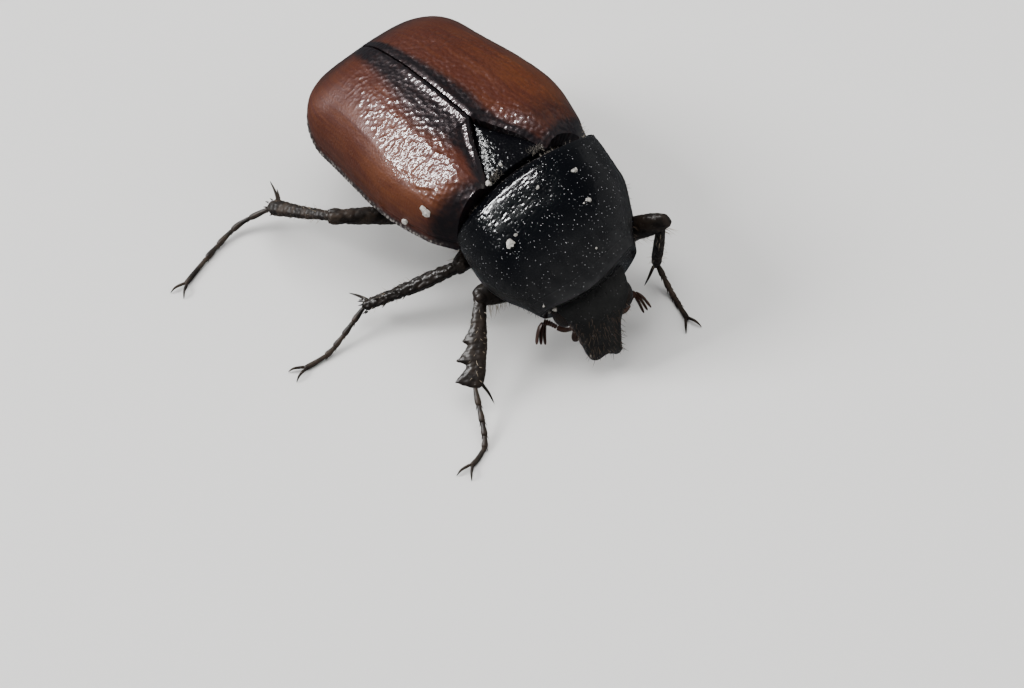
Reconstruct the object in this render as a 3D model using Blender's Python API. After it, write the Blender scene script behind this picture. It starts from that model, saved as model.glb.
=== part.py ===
"""A flower chafer beetle at life size, standing on a level floor with its head lowered.

The beetle faces -Y, with its left side towards +X and the floor at Z = 0. Every horny plate and
every leg section is a solid of its own, kept a hair's breadth from its neighbours.
"""

import math

import bmesh
import bpy
from mathutils import Matrix, Vector

MM = 0.001

# Stance. Body places are measured from the waist, the hinge between prothorax and hind body.
WAIST_HEIGHT = 3.20 * MM
STANCE_SHIFT = (2.25 * MM, -2.06 * MM)  # brings the middle of the outline over the origin
PLATE_GAP = 0.20 * MM  # between body plates
JOINT_GAP = 0.15 * MM  # between leg sections
NOD = 13.0  # degrees that the prothorax is lowered
TURN = -9.0  # degrees that it is turned to the beetle's right
LEAN = -20.0  # degrees that its left side is raised
FOREBODY_SHIFT = (0.14 * MM, 0, 0.24 * MM)  # place of the prothorax axis from the waist
HEAD_NOD = 49.5  # degrees that the head is lowered further
HEAD_LEAN = 4.8  # degrees that its right side is raised
HEAD_TURN = -22.5  # degrees that it is turned to the beetle's right

# Wing cases. Tables give (place from base to end, value), in millimetres where it is a height.
ELYTRA_LENGTH = 8.00 * MM
ELYTRA_WIDTH = 6.09 * MM
ELYTRA_THICKNESS = 0.42 * MM
ELYTRA_START = 0.08 * MM
ELYTRA_TOP = [(0.0, 1.40), (0.12, 1.82), (0.35, 1.85), (0.6, 1.74), (0.85, 1.34), (1.0, 1.25)]
ELYTRA_EDGE = [(0.0, -0.25), (0.12, -0.12), (0.5, -0.36), (0.8, -0.60), (1.0, 0.42)]
ELYTRA_HALF = [(0.0, 0.80), (0.12, 0.975), (0.35, 1.055), (0.8, 0.96), (1.0, 0.955)]
ELYTRA_TURN = 0.78  # where the wing cases start to round down to their ends
ELYTRA_END_HALF = 0.32  # half width of the straight part of the end
SIDE_ANGLE = 93.5  # degrees from the seam down to the side margin
RIB_HEIGHT = 0.07 * MM  # raised rim beside the seam
RIB_WIDTH = 0.15 * MM

# Scutellum, the triangle between the wing cases
SCUTELLUM_LENGTH = 2.20 * MM
SCUTELLUM_WIDTH = 2.05 * MM
SCUTELLUM_THICKNESS = 0.50 * MM

# Prothorax, with the pronotum on top
PRONOTUM_LENGTH = 3.83 * MM
PRONOTUM_WIDTH = 5.36 * MM
PRONOTUM_RISE = 1.56 * MM
PRONOTUM_MARGIN = 0.20 * MM
PRONOTUM_HALF = [(0.0, 0.66), (0.12, 0.74), (0.35, 0.90), (0.58, 0.98), (0.8, 0.97), (1.0, 0.95)]
PRONOTUM_ARCH = [(0.0, 0.42), (0.25, 0.89), (0.55, 1.0), (0.85, 0.90), (1.0, 0.32)]
PROSTERNUM_DEPTH = 1.15 * MM

# Head, measured in its own frame from the neck
NECK = Vector((-0.07, -3.65, 0.25)) * MM
HEAD_LENGTH = 3.00 * MM
HEAD_BACK = 0.60 * MM  # how far the head reaches back past the neck, inside the prothorax
HEAD_WIDTH = 2.30 * MM
HEAD_HEIGHT = 0.70 * MM
HEAD_DEPTH = 0.80 * MM
HEAD_HALF = [(0.0, 0.52), (0.16, 0.57), (0.34, 0.64), (0.48, 0.84), (0.62, 1.0), (0.8, 0.97), (1.0, 0.70)]
HEAD_SWELL = [(0.0, 0.34), (0.28, 0.58), (0.55, 0.92), (0.68, 0.90), (0.86, 0.55), (1.0, 0.15)]
CLYPEUS_NOTCH = 0.14 * MM
EYE_PLACE = Vector((0.92, -0.72, 0.02)) * MM
EYE_RADII = (0.33 * MM, 0.46 * MM, 0.42 * MM)
ANTENNA_PATH = [(0.74, -1.40, -0.15), (1.12, -1.30, -0.42), (1.40, -1.12, -0.66)]
ANTENNA_RADIUS = 0.18 * MM
CLUB_PATH = [(1.40, -1.12, -0.66), (1.54, -1.40, -0.70), (1.66, -1.80, -0.70)]
CLUB_SIZE = (0.25 * MM, 0.20 * MM)
PALP_PATH = [(0.42, -1.42, -0.62), (0.55, -1.75, -0.86), (0.60, -2.12, -0.92)]
PALP_RADIUS = 0.20 * MM

# Underside and abdomen
TRUNK_START = 0.42 * MM
THORAX_END = 3.35 * MM
ABDOMEN_END = 7.30 * MM
THORAX_HALF = [(0.0, 2.05), (0.3, 2.25), (1.0, 2.38)]
THORAX_TOP = [(0.0, 0.72), (0.4, 1.00), (1.0, 1.08)]
THORAX_DEPTH = [(0.0, 1.40), (0.4, 1.80), (1.0, 1.75)]
ABDOMEN_HALF = [(0.0, 2.38), (0.5, 2.36), (1.0, 1.9)]
ABDOMEN_TOP = [(0.0, 1.08), (0.4, 0.92), (0.75, 0.55), (1.0, 0.20)]
ABDOMEN_DEPTH = [(0.0, 1.68), (0.5, 1.60), (1.0, 1.05)]
BELLY_SEGMENTS = 5
SEGMENT_STEP = 0.09 * MM
PYGIDIUM_TOP = 0.10 * MM
PYGIDIUM_HEIGHT = 1.70 * MM
PYGIDIUM_WIDTH = 3.90 * MM
PYGIDIUM_THICKNESS = 0.38 * MM

# Legs. Places are (left, back, up) from the waist in millimetres; the fore hips are places in the
# forebody. A foot path runs from the tibia's end to the claws, and wide is the toothed edge's side.
FLOOR_LEVEL = -3.20
LEGS = {
    "fore_right": {
        "hip": (-1.00, -1.88, -1.28),
        "knee": (-2.79, -1.06, -1.26),
        "foot": [(-4.60, -2.81, -2.40), (-5.47, -4.24, -3.03), (-6.30, -4.60, -3.05)],
        "wide": (-0.775, 0.614, 0.147),
    },
    "fore_left": {
        "hip": (0.72, -1.86, -1.36),
        "knee": (2.25, -3.75, 0.12),
        "foot": [(2.25, -2.95, -2.40), (2.10, -3.75, -3.03), (1.80, -4.85, -3.05)],
        "wide": (0.95, -0.20, -0.10),
    },
    "mid_right": {
        "hip": (-0.95, 1.35, -1.95),
        "knee": (-2.42, 0.34, -1.30),
        "foot": [(-5.03, 2.05, -2.40), (-6.17, 1.92, -2.86), (-6.80, 1.87, -3.03), (-7.58, 1.96, -3.05)],
        "wide": (0.2, -0.9, 0.4),
    },
    "mid_left": {
        "hip": (0.95, 1.35, -1.95),
        "knee": (2.30, 0.85, -1.40),
        "foot": [(3.25, 3.20, -2.40), (3.45, 4.15, -3.03), (3.75, 5.20, -3.05)],
        "wide": (-0.2, -0.9, 0.4),
    },
    "hind_right": {
        "hip": (-1.15, 2.85, -1.90),
        "knee": (-4.25, 4.10, -0.62),
        "foot": [(-4.64, 7.28, -2.40), (-5.58, 7.87, -2.84), (-6.63, 7.80, -3.03), (-8.20, 7.29, -3.05)],
        "wide": (-0.9, 0.0, 0.4),
    },
    "hind_left": {
        "hip": (1.15, 2.85, -1.90),
        "knee": (3.10, 4.35, -1.15),
        "foot": [(3.10, 6.90, -2.40), (3.15, 7.80, -3.03), (3.30, 9.00, -3.05)],
        "wide": (0.9, 0.0, 0.4),
    },
}
HIP_RADII = {"fore": (0.46, 0.50, 0.58), "mid": (0.52, 0.48, 0.48), "hind": (0.80, 0.42, 0.46)}
FEMUR_SIZE = {"fore": (0.42, 0.30), "mid": (0.40, 0.29), "hind": (0.42, 0.30)}
TIBIA_SIZE = {"fore": (0.40, 0.25), "mid": (0.29, 0.25), "hind": (0.32, 0.25)}
TARSUS_SIZE = 0.25
TARSUS_JOINTS = 5
CLAW_LENGTH = 0.60
SPUR_LENGTH = 0.85


def along(stations, t):
    """Value at t of a smooth curve through (place, value) stations, with no overshoot."""
    places = [s[0] for s in stations]
    values = [s[1] for s in stations]
    t = min(max(t, places[0]), places[-1])
    steps = [
        (values[i + 1] - values[i]) / (places[i + 1] - places[i])
        for i in range(len(places) - 1)
    ]

    def slope(i):
        if i == 0 or i == len(places) - 1:
            return steps[min(i, len(steps) - 1)]
        before, after = steps[i - 1], steps[i]
        return 0.0 if before * after <= 0 else 2 * before * after / (before + after)

    i = max(k for k in range(len(steps)) if places[k] <= t)
    width = places[i + 1] - places[i]
    s = (t - places[i]) / width
    return (
        values[i] * (1 + 2 * s) * (1 - s) ** 2
        + values[i + 1] * s * s * (3 - 2 * s)
        + width * slope(i) * s * (1 - s) ** 2
        - width * slope(i + 1) * s * s * (1 - s)
    )


def signed_power(value, power):
    return math.copysign(abs(value) ** power, value)


def bump(distance, width):
    """A smooth hump, 1 at no distance and near 0 past the width."""
    return math.exp(-((distance / width) ** 2))


def round_corners(across, lengthwise, amount):
    """Moves a point of the square -1..1 towards a disc, so that its corners are rounded."""
    return (
        across * math.sqrt(1 - amount * lengthwise**2 / 2),
        lengthwise * math.sqrt(1 - amount * across**2 / 2),
    )


def elytron_point(side, across, t, top):
    """A point of a wing case: across -1 at the seam to 1 at the side, t 0 at the base to 1 behind."""
    u = 0.5 * (across + 1)
    t = 1 - (1 - t) ** 1.3
    t += 0.055 * u**4 * (1 - t) ** 8
    turn = max(0.0, (t - ELYTRA_TURN) / (1 - ELYTRA_TURN))
    closing = math.sqrt(max(0.0, 1 - turn**3))
    inset = 0.0 if top else ELYTRA_THICKNESS
    notch = max(0.0, 1 - t * ELYTRA_LENGTH / (SCUTELLUM_LENGTH - ELYTRA_START)) ** 0.8
    seam = 0.5 * PLATE_GAP + notch * 0.5 * SCUTELLUM_WIDTH
    half = 0.5 * ELYTRA_WIDTH * along(ELYTRA_HALF, t) - inset
    half *= ELYTRA_END_HALF + (1 - ELYTRA_END_HALF) * closing
    angle = u * math.radians(SIDE_ANGLE)
    edge = along(ELYTRA_EDGE, t) * MM
    crown = edge + (along(ELYTRA_TOP, t) * MM - edge - inset) * closing
    x = seam + (half - seam) * math.sin(angle) ** 0.88
    z = edge + (crown - edge) * signed_power(math.cos(angle), 0.80)
    if top:
        z += RIB_HEIGHT * bump(x - seam - RIB_WIDTH, RIB_WIDTH) * (1 - 0.5 * notch) * closing
        z += 0.10 * MM * bump(u - 0.50, 0.18) * bump(t - 0.08, 0.08)
        z += 0.08 * MM * bump(u - 0.45, 0.18) * bump(t - 0.84, 0.07)
    y = ELYTRA_START + t * (ELYTRA_LENGTH - inset)
    return Vector((side * x, y, z))


def pronotum_point(across, t, top):
    """A point of the prothorax: across -1 to 1, t 0 at the head to 1 at the wing cases."""
    lengthwise = 2 * t - 1
    rounding = 0.25 if lengthwise < 0 else 0.04
    across, lengthwise = round_corners(across, lengthwise, rounding)
    t = 0.5 * (lengthwise + 1)
    half = 0.5 * PRONOTUM_WIDTH * along(PRONOTUM_HALF, t)
    angle = across * math.radians(90)
    arch = max(0.0, math.cos(angle))
    x = half * signed_power(math.sin(angle), 0.94)
    hind_lobe = 0.06 * MM * bump(across, 0.32) * t**3
    front_lobe = 0.45 * MM * bump(across, 0.55) * (1 - t) ** 3
    y = -PRONOTUM_LENGTH * (1 - t) + hind_lobe - front_lobe
    if top:
        z = PRONOTUM_MARGIN + 0.12 * MM + PRONOTUM_RISE * along(PRONOTUM_ARCH, t) * arch**0.85
    else:
        z = PRONOTUM_MARGIN - 0.12 * MM - PROSTERNUM_DEPTH * arch**0.9
        x *= 0.97
        y += (0.10 * (1 - t) - 0.62 * t) * arch * MM
    return Vector((x, y, z))


def head_point(across, t, top):
    """A point of the head: across -1 to 1, t 0 at the clypeus edge to 1 at the neck."""
    lengthwise = 2 * t - 1
    rounding = 0.30 if lengthwise < 0 else 0.6
    across, lengthwise = round_corners(across, lengthwise, rounding)
    t = 0.5 * (lengthwise + 1)
    half = 0.5 * HEAD_WIDTH * along(HEAD_HALF, t)
    angle = across * math.radians(90)
    arch = max(0.0, math.cos(angle))
    swell = along(HEAD_SWELL, t)
    notch = CLYPEUS_NOTCH * bump(across, 0.30) * (1 - t) ** 4
    y = HEAD_BACK - HEAD_LENGTH * (1 - t) + notch
    if top:
        z = 0.12 * MM + HEAD_HEIGHT * swell * arch**0.8
        z += 0.10 * MM * bump(t, 0.09) * arch**0.3
    else:
        z = -0.12 * MM - HEAD_DEPTH * swell * arch**0.6
        y -= 0.55 * MM * t * arch
    return Vector((half * math.sin(angle), y, z))


def scutellum_point(across, t, top):
    """A point of the scutellum: t 0 at its base in front to 1 at its tip."""
    half = 0.5 * SCUTELLUM_WIDTH * (1 - t) ** 0.8 + 0.07 * MM
    crown = 1.42 * MM + 0.26 * MM * math.sqrt(t) - 0.10 * MM * across**2
    x = across * (half - PLATE_GAP * 0.5 * (1 - t))
    if not top:
        crown -= SCUTELLUM_THICKNESS * (1 - 0.3 * t)
        x *= 0.85
    y = 0.12 * MM + (SCUTELLUM_LENGTH - 0.32 * MM) * t
    return Vector((x, y, crown))


def pygidium_point(across, t, top):
    """A point of the last back plate, which closes the body below the wing cases' ends."""
    drop = 2 * t - 1
    across, drop = round_corners(across, drop, 0.75)
    t = 0.5 * (drop + 1)
    half = 0.5 * PYGIDIUM_WIDTH * (1 - 0.38 * t)
    y = ABDOMEN_END + PLATE_GAP + (0.40 * (1 - across**2) - 0.30 * t) * MM
    y += PYGIDIUM_THICKNESS if top else 0.0
    return Vector((half * across, y, PYGIDIUM_TOP - PYGIDIUM_HEIGHT * t - 0.12 * MM * across**2))


def trunk_point(t, angle, start, end, halves, tops, depths):
    """A point of a rounded trunk: t runs along it and the angle round it from the crown."""
    closing = (1 - abs(2 * t - 1) ** 6) ** (1 / 6) if 0 < t < 1 else 0.0
    up = math.cos(angle)
    power = 0.82 if up > 0 else 1.12
    x = along(halves, t) * MM * signed_power(math.sin(angle), power) * closing
    height = along(tops if up > 0 else depths, t) * MM * closing
    return Vector((x, start + (end - start) * t, height * signed_power(up, power)))


def thorax_point(t, angle):
    return trunk_point(
        t, angle, TRUNK_START, THORAX_END, THORAX_HALF, THORAX_TOP, THORAX_DEPTH
    )


def abdomen_point(t, angle):
    start = THORAX_END + PLATE_GAP
    point = trunk_point(
        t, angle, start, ABDOMEN_END, ABDOMEN_HALF, ABDOMEN_TOP, ABDOMEN_DEPTH
    )
    if math.cos(angle) < 0:
        within = (t * BELLY_SEGMENTS) % 1.0
        point.z += SEGMENT_STEP * within * abs(math.cos(angle)) ** 0.5
    return point


def make_material(name, colour, roughness):
    material = bpy.data.materials.new(name)
    material.use_nodes = True
    shader = material.node_tree.nodes["Principled BSDF"]
    shader.inputs["Base Color"].default_value = (*colour, 1.0)
    shader.inputs["Roughness"].default_value = roughness
    shader.inputs["Metallic"].default_value = 0.0
    return material


def make_object(name, bm, material, place):
    """Turns a finished bmesh, set out in the frame place, into a named object."""
    bmesh.ops.remove_doubles(bm, verts=bm.verts[:], dist=0.002 * MM)
    bmesh.ops.recalc_face_normals(bm, faces=bm.faces[:])
    bmesh.ops.transform(bm, matrix=place, verts=bm.verts[:])
    mesh = bpy.data.meshes.new(name)
    bm.to_mesh(mesh)
    bm.free()
    mesh.shade_smooth()
    mesh.set_sharp_from_angle(angle=math.radians(40))
    mesh.materials.append(material)
    item = bpy.data.objects.new(name, mesh)
    bpy.context.scene.collection.objects.link(item)
    return item


def make_plate(name, columns, rows, shape, material, place):
    """A closed plate from a grid and its extruded copy, both set out by shape(across, t, top)."""
    bm = bmesh.new()
    bmesh.ops.create_grid(bm, x_segments=columns, y_segments=rows, size=1.0)
    under = bm.verts[:]
    extruded = bmesh.ops.extrude_face_region(bm, geom=bm.faces[:])["geom"]
    over = [v for v in extruded if isinstance(v, bmesh.types.BMVert)]
    for verts, top in ((under, False), (over, True)):
        for vert in verts:
            vert.co = shape(vert.co.x, 0.5 * (vert.co.y + 1), top)
    return make_object(name, bm, material, place)


def make_trunk(name, segments, rings, shape, material, place):
    """A closed body from a sphere whose poles lie fore and aft, set out by shape(t, angle)."""
    bm = bmesh.new()
    bmesh.ops.create_uvsphere(bm, u_segments=segments, v_segments=rings, radius=1.0)
    for vert in bm.verts:
        t = 0.5 * (1 - vert.co.z)
        vert.co = shape(t, math.atan2(vert.co.x, vert.co.y))
    return make_object(name, bm, material, place)


def make_ball(name, centre, radii, segments, rings, material, place):
    """An ellipsoid of the given radii round the centre."""
    bm = bmesh.new()
    bmesh.ops.create_uvsphere(bm, u_segments=segments, v_segments=rings, radius=1.0)
    shape = Matrix.Translation(centre) @ Matrix.Diagonal((*radii, 1.0))
    bmesh.ops.transform(bm, matrix=shape, verts=bm.verts[:])
    return make_object(name, bm, material, place)


def add_tube(bm, path, sizes, wide, sides):
    """Bridged rings along the path; each size is (half width towards wide, half thickness)."""
    rings = []
    for i, centre in enumerate(path):
        before, after = path[max(i - 1, 0)], path[min(i + 1, len(path) - 1)]
        forward = (after - before).normalized()
        broad = (wide - wide.dot(forward) * forward).normalized()
        turn = Matrix((broad, forward.cross(broad), forward)).transposed().to_4x4()
        shape = Matrix.Translation(centre) @ turn @ Matrix.Diagonal((*sizes[i], 1, 1))
        shape = shape @ Matrix.Rotation(math.pi / sides, 4, "Z")  # flats, not edges, face wide
        made = bmesh.ops.create_circle(
            bm, cap_ends=i in (0, len(path) - 1), segments=sides, radius=1.0, matrix=shape
        )["verts"]
        rings.append({e for v in made for e in v.link_edges})
    for near, far in zip(rings, rings[1:]):
        bmesh.ops.bridge_loops(bm, edges=[*near, *far])


def trim(bm, point, normal):
    """Cuts away what lies past the plane and closes the cut."""
    bmesh.ops.bisect_plane(
        bm,
        geom=bm.verts[:] + bm.edges[:] + bm.faces[:],
        dist=0.0005 * MM,
        plane_co=point,
        plane_no=normal,
        clear_outer=True,
    )
    bmesh.ops.holes_fill(bm, edges=[e for e in bm.edges if e.is_boundary], sides=0)


def follow(path, t):
    """The point a fraction t of the way along a polyline."""
    lengths = [(b - a).length for a, b in zip(path, path[1:])]
    left = t * sum(lengths)
    for start, end, length in zip(path, path[1:], lengths):
        if left <= length:
            return start.lerp(end, left / length)
        left -= length
    return path[-1].copy()


def make_spine(path, radius, wide, place):
    """A tapered spine along the path, ready to be joined to a leg section."""
    bm = bmesh.new()
    last = len(path) - 1
    sizes = [(radius * (1 - 0.82 * i / last), radius * (1 - 0.82 * i / last)) for i in range(last + 1)]
    add_tube(bm, path, sizes, wide, 6)
    bmesh.ops.recalc_face_normals(bm, faces=bm.faces[:])
    bmesh.ops.transform(bm, matrix=place, verts=bm.verts[:])
    mesh = bpy.data.meshes.new("spine")
    bm.to_mesh(mesh)
    bm.free()
    spine = bpy.data.objects.new("spine", mesh)
    bpy.context.scene.collection.objects.link(spine)
    return spine


def keep_largest(mesh):
    """Drops every closed surface of the mesh but the largest."""
    bm = bmesh.new()
    bm.from_mesh(mesh)
    left = set(bm.faces)
    groups = []
    while left:
        group, queue = set(), [left.pop()]
        while queue:
            face = queue.pop()
            group.add(face)
            near = {f for e in face.edges for f in e.link_faces} & left
            left -= near
            queue.extend(near)
        groups.append(group)
    groups.sort(key=lambda g: sum(f.calc_area() for f in g))
    scraps = [f for g in groups[:-1] for f in g]
    bmesh.ops.delete(bm, geom=scraps, context="FACES")
    bm.to_mesh(mesh)
    bm.free()


def apply_modifiers(item):
    """Replaces the object's mesh with what its modifiers make of it."""
    graph = bpy.context.evaluated_depsgraph_get()
    mesh = bpy.data.meshes.new_from_object(item.evaluated_get(graph))
    item.modifiers.clear()
    item.data = mesh
    keep_largest(mesh)


def fuse(body, extras):
    """Joins closed pieces to the body in one union and removes them."""
    group = bpy.data.collections.new(body.name + "_pieces")
    bpy.context.scene.collection.children.link(group)
    for extra in extras:
        group.objects.link(extra)
        bpy.context.scene.collection.objects.unlink(extra)
    union = body.modifiers.new("Union", "BOOLEAN")
    union.operation = "UNION"
    union.operand_type = "COLLECTION"
    union.collection = group
    apply_modifiers(body)
    for extra in extras:
        bpy.data.objects.remove(extra)
    bpy.data.collections.remove(group)


def make_socket(body, item, gap):
    """Hollows the body where the item sits, leaving the gap round it."""
    bm = bmesh.new()
    bm.from_mesh(item.data)
    bm.normal_update()
    moves = [(v, v.normal * gap) for v in bm.verts]
    for vert, move in moves:
        vert.co += move
    mesh = bpy.data.meshes.new("socket")
    bm.to_mesh(mesh)
    bm.free()
    cutter = bpy.data.objects.new("socket", mesh)
    bpy.context.scene.collection.objects.link(cutter)
    cut = body.modifiers.new("Socket", "BOOLEAN")
    cut.operation = "DIFFERENCE"
    cut.object = cutter
    apply_modifiers(body)
    bpy.data.objects.remove(cutter)


def level_soles(item, floor):
    """Flattens what reaches below the floor, so that the foot stands on a small flat."""
    for vert in item.data.vertices:
        vert.co.z = max(vert.co.z, floor)


def make_femur(name, hip, reach, knee, size, wide, material, place):
    """A femur from the edge of the hip to just past the knee."""
    forward = (knee - hip).normalized()
    start = hip + forward * (reach + JOINT_GAP)
    end = knee + forward * 0.22 * MM
    shape = [(0.0, 0.62), (0.12, 0.86), (0.4, 1.0), (0.7, 0.92), (0.9, 0.74), (1.0, 0.42)]
    path = [start.lerp(end, t) for t, _ in shape]
    sizes = [(size[0] * s * MM, max(size[1] * s, 0.12) * MM) for _, s in shape]
    bm = bmesh.new()
    add_tube(bm, path, sizes, wide, 10)
    return make_object(name, bm, material, place)


def make_tibia(name, leg, kind, hip, knee, foot, material, place):
    """A tibia that hangs under the knee and ends flat at the foot, with its spurs and teeth."""
    wide = Vector(leg["wide"])
    thigh = (knee - hip).normalized()
    shin = (foot[0] - knee).normalized()
    width, thickness = TIBIA_SIZE[kind]
    shape = [(0.0, 0.62), (0.15, 0.66), (0.4, 0.78), (0.7, 0.92), (0.93, 1.0), (1.06, 1.0)]
    path = [knee + (foot[0] - knee) * t for t, _ in shape]
    sizes = [(width * s * MM, thickness * (0.7 + 0.3 * s) * MM) for _, s in shape]
    bm = bmesh.new()
    add_tube(bm, path, sizes, wide, 10)
    away = (shin - shin.dot(thigh) * thigh).normalized()
    reach = 0.62 * FEMUR_SIZE[kind][0] * MM + JOINT_GAP
    trim(bm, knee + away * reach, -away)
    toe = (foot[1] - foot[0]).normalized()
    mitre = (shin + toe).normalized()
    trim(bm, foot[0] - mitre * 0.5 * JOINT_GAP, mitre)
    tibia = make_object(name, bm, material, place)
    fuse(tibia, make_shin_spines(kind, knee, foot[0], shin, toe, wide, place))
    return tibia


def make_shin_spines(kind, knee, ankle, shin, toe, wide, place):
    """Teeth along a fore tibia's outer edge, or small spines, and the spurs at its end."""
    broad = (wide - wide.dot(shin) * shin).normalized()
    width = TIBIA_SIZE[kind][0] * MM
    spines = []
    if kind == "fore":
        for t, length in ((0.50, 0.20), (0.70, 0.30), (0.88, 0.42)):
            base = knee.lerp(ankle, t) + broad * 0.45 * width
            tip = base + (broad * 0.85 + shin * 0.5).normalized() * (length * MM + 0.4 * width)
            spines.append(make_spine([base, base.lerp(tip, 0.6), tip], 0.22 * MM, shin, place))
    else:
        for t in (0.45, 0.92):
            base = knee.lerp(ankle, t) + broad * 0.4 * width
            tip = base + (broad + shin * 0.8).normalized() * 0.42 * MM
            spines.append(make_spine([base, tip], 0.13 * MM, shin, place))
    cross = shin.cross(broad)
    if cross.dot(toe) > 0:
        cross = -cross
    inner = ankle - shin * 0.30 * MM - broad * 0.35 * width
    for spread, length in ((1.0, 1.0), (-1.0, 0.72)):
        heading = (shin * 0.55 - broad * 0.75 + cross * 0.45 * spread).normalized()
        tip = inner + heading * SPUR_LENGTH * length * MM
        bend = inner.lerp(tip, 0.55) - broad * 0.05 * MM
        spines.append(make_spine([inner, bend, tip], 0.13 * MM, shin, place))
        if kind == "fore":
            break
    return spines


def make_tarsus(name, shin, foot, material, place):
    """A foot of five knots with two claws, flat where it meets the floor."""
    toe = (foot[1] - foot[0]).normalized()
    mitre = (shin + toe).normalized()
    line = [foot[0] - toe * 0.25 * MM, *foot[1:]]
    up = Vector((0, 0, 1))
    path, sizes = [line[0]], [0.74]
    for i in range(TARSUS_JOINTS):
        for within, size in ((0.35, 0.80), (0.86, 1.0), (1.0, 0.78)):
            path.append(follow(line, (i + within) / TARSUS_JOINTS))
            sizes.append(size)
    sizes[-1] = 0.6
    bm = bmesh.new()
    add_tube(bm, path, [(s * TARSUS_SIZE * MM,) * 2 for s in sizes], up, 8)
    trim(bm, foot[0] + mitre * 0.5 * JOINT_GAP, -mitre)
    tarsus = make_object(name, bm, material, place)
    heading = (foot[-1] - foot[-2]).normalized()
    side = heading.cross(up).normalized()
    base = foot[-1] - heading * 0.16 * MM
    claws = []
    for spread in (-1, 1):
        middle = base + (heading * 0.38 + side * 0.20 * spread + up * 0.04) * MM
        tip = base + (heading * CLAW_LENGTH + side * 0.36 * spread) * MM
        tip.z = (FLOOR_LEVEL + 0.02) * MM
        claws.append(make_spine([base, middle, tip], 0.15 * MM, up, place))
    fuse(tarsus, claws)
    level_soles(tarsus, 0.0)
    return tarsus


def make_leg(name, leg, trunk, forebody, stance, material):
    """Hip, femur, tibia and foot of one leg, with the hip let into its trunk."""
    kind, side = name.split("_")
    hip = Vector(leg["hip"]) * MM
    radii = Vector(HIP_RADII[kind]) * MM
    hip_place = forebody if kind == "fore" else stance
    coxa = make_ball(f"coxa_{name}", hip, radii, 14, 9, material, hip_place)
    make_socket(trunk, coxa, JOINT_GAP)
    if kind == "fore":
        hip = stance.inverted() @ (forebody @ hip)
    hip.z -= 0.12 * MM
    knee = Vector(leg["knee"]) * MM
    foot = [Vector(p) * MM for p in leg["foot"]]
    forward = (knee - hip).normalized()
    reach = 1 / math.sqrt(sum((forward[i] / radii[i]) ** 2 for i in range(3)))
    wide = (foot[0] - knee).normalized()
    femur = make_femur(
        f"femur_{name}", hip, reach, knee, FEMUR_SIZE[kind], wide, material, stance
    )
    make_socket(trunk, femur, JOINT_GAP)
    make_tibia(f"tibia_{name}", leg, kind, hip, knee, foot, material, stance)
    make_tarsus(f"tarsus_{name}", wide, foot, material, stance)


def make_feeler(name, parts, material, place):
    """A bent tube from its base outwards; parts holds (path, half width, half thickness)."""
    bm = bmesh.new()
    path, sizes = [], []
    for points, width, thickness in parts:
        points = [Vector(p) * MM for p in points]
        for t, scale in ((0.0, 0.8), (0.35, 1.0), (0.8, 1.0), (1.0, 0.7)):
            if path and t == 0.0:
                continue
            path.append(follow(points, t))
            sizes.append((width * scale, thickness * scale))
    add_tube(bm, path, sizes, Vector((1, 0.2, 0.3)), 8)
    return make_object(name, bm, material, place)


def mirrored(path, side):
    return [(side * p[0], p[1], p[2]) for p in path]


def make_head(prothorax, skull, eye, horn, place):
    """Head with eyes, feelers and palps, let into the front of the prothorax."""
    head = make_plate("head", 14, 12, head_point, skull, place)
    make_socket(prothorax, head, JOINT_GAP)
    for name, side in (("left", 1), ("right", -1)):
        centre = Vector((side * EYE_PLACE.x, EYE_PLACE.y, EYE_PLACE.z))
        ball = make_ball(f"eye_{name}", centre, EYE_RADII, 16, 10, eye, place)
        make_socket(prothorax, ball, JOINT_GAP)
        make_socket(head, ball, 0.08 * MM)
        shaft = (mirrored(ANTENNA_PATH, side), ANTENNA_RADIUS, ANTENNA_RADIUS)
        club = (mirrored(CLUB_PATH, side), *CLUB_SIZE)
        antenna = make_feeler(f"antenna_{name}", [shaft, club], horn, place)
        make_socket(head, antenna, 0.10 * MM)
        make_socket(prothorax, antenna, JOINT_GAP)
        palp = make_feeler(
            f"palp_{name}", [(mirrored(PALP_PATH, side), PALP_RADIUS, PALP_RADIUS)], horn, place
        )
        make_socket(head, palp, 0.10 * MM)


def clear_scene():
    for item in list(bpy.data.objects):
        bpy.data.objects.remove(item)


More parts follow.
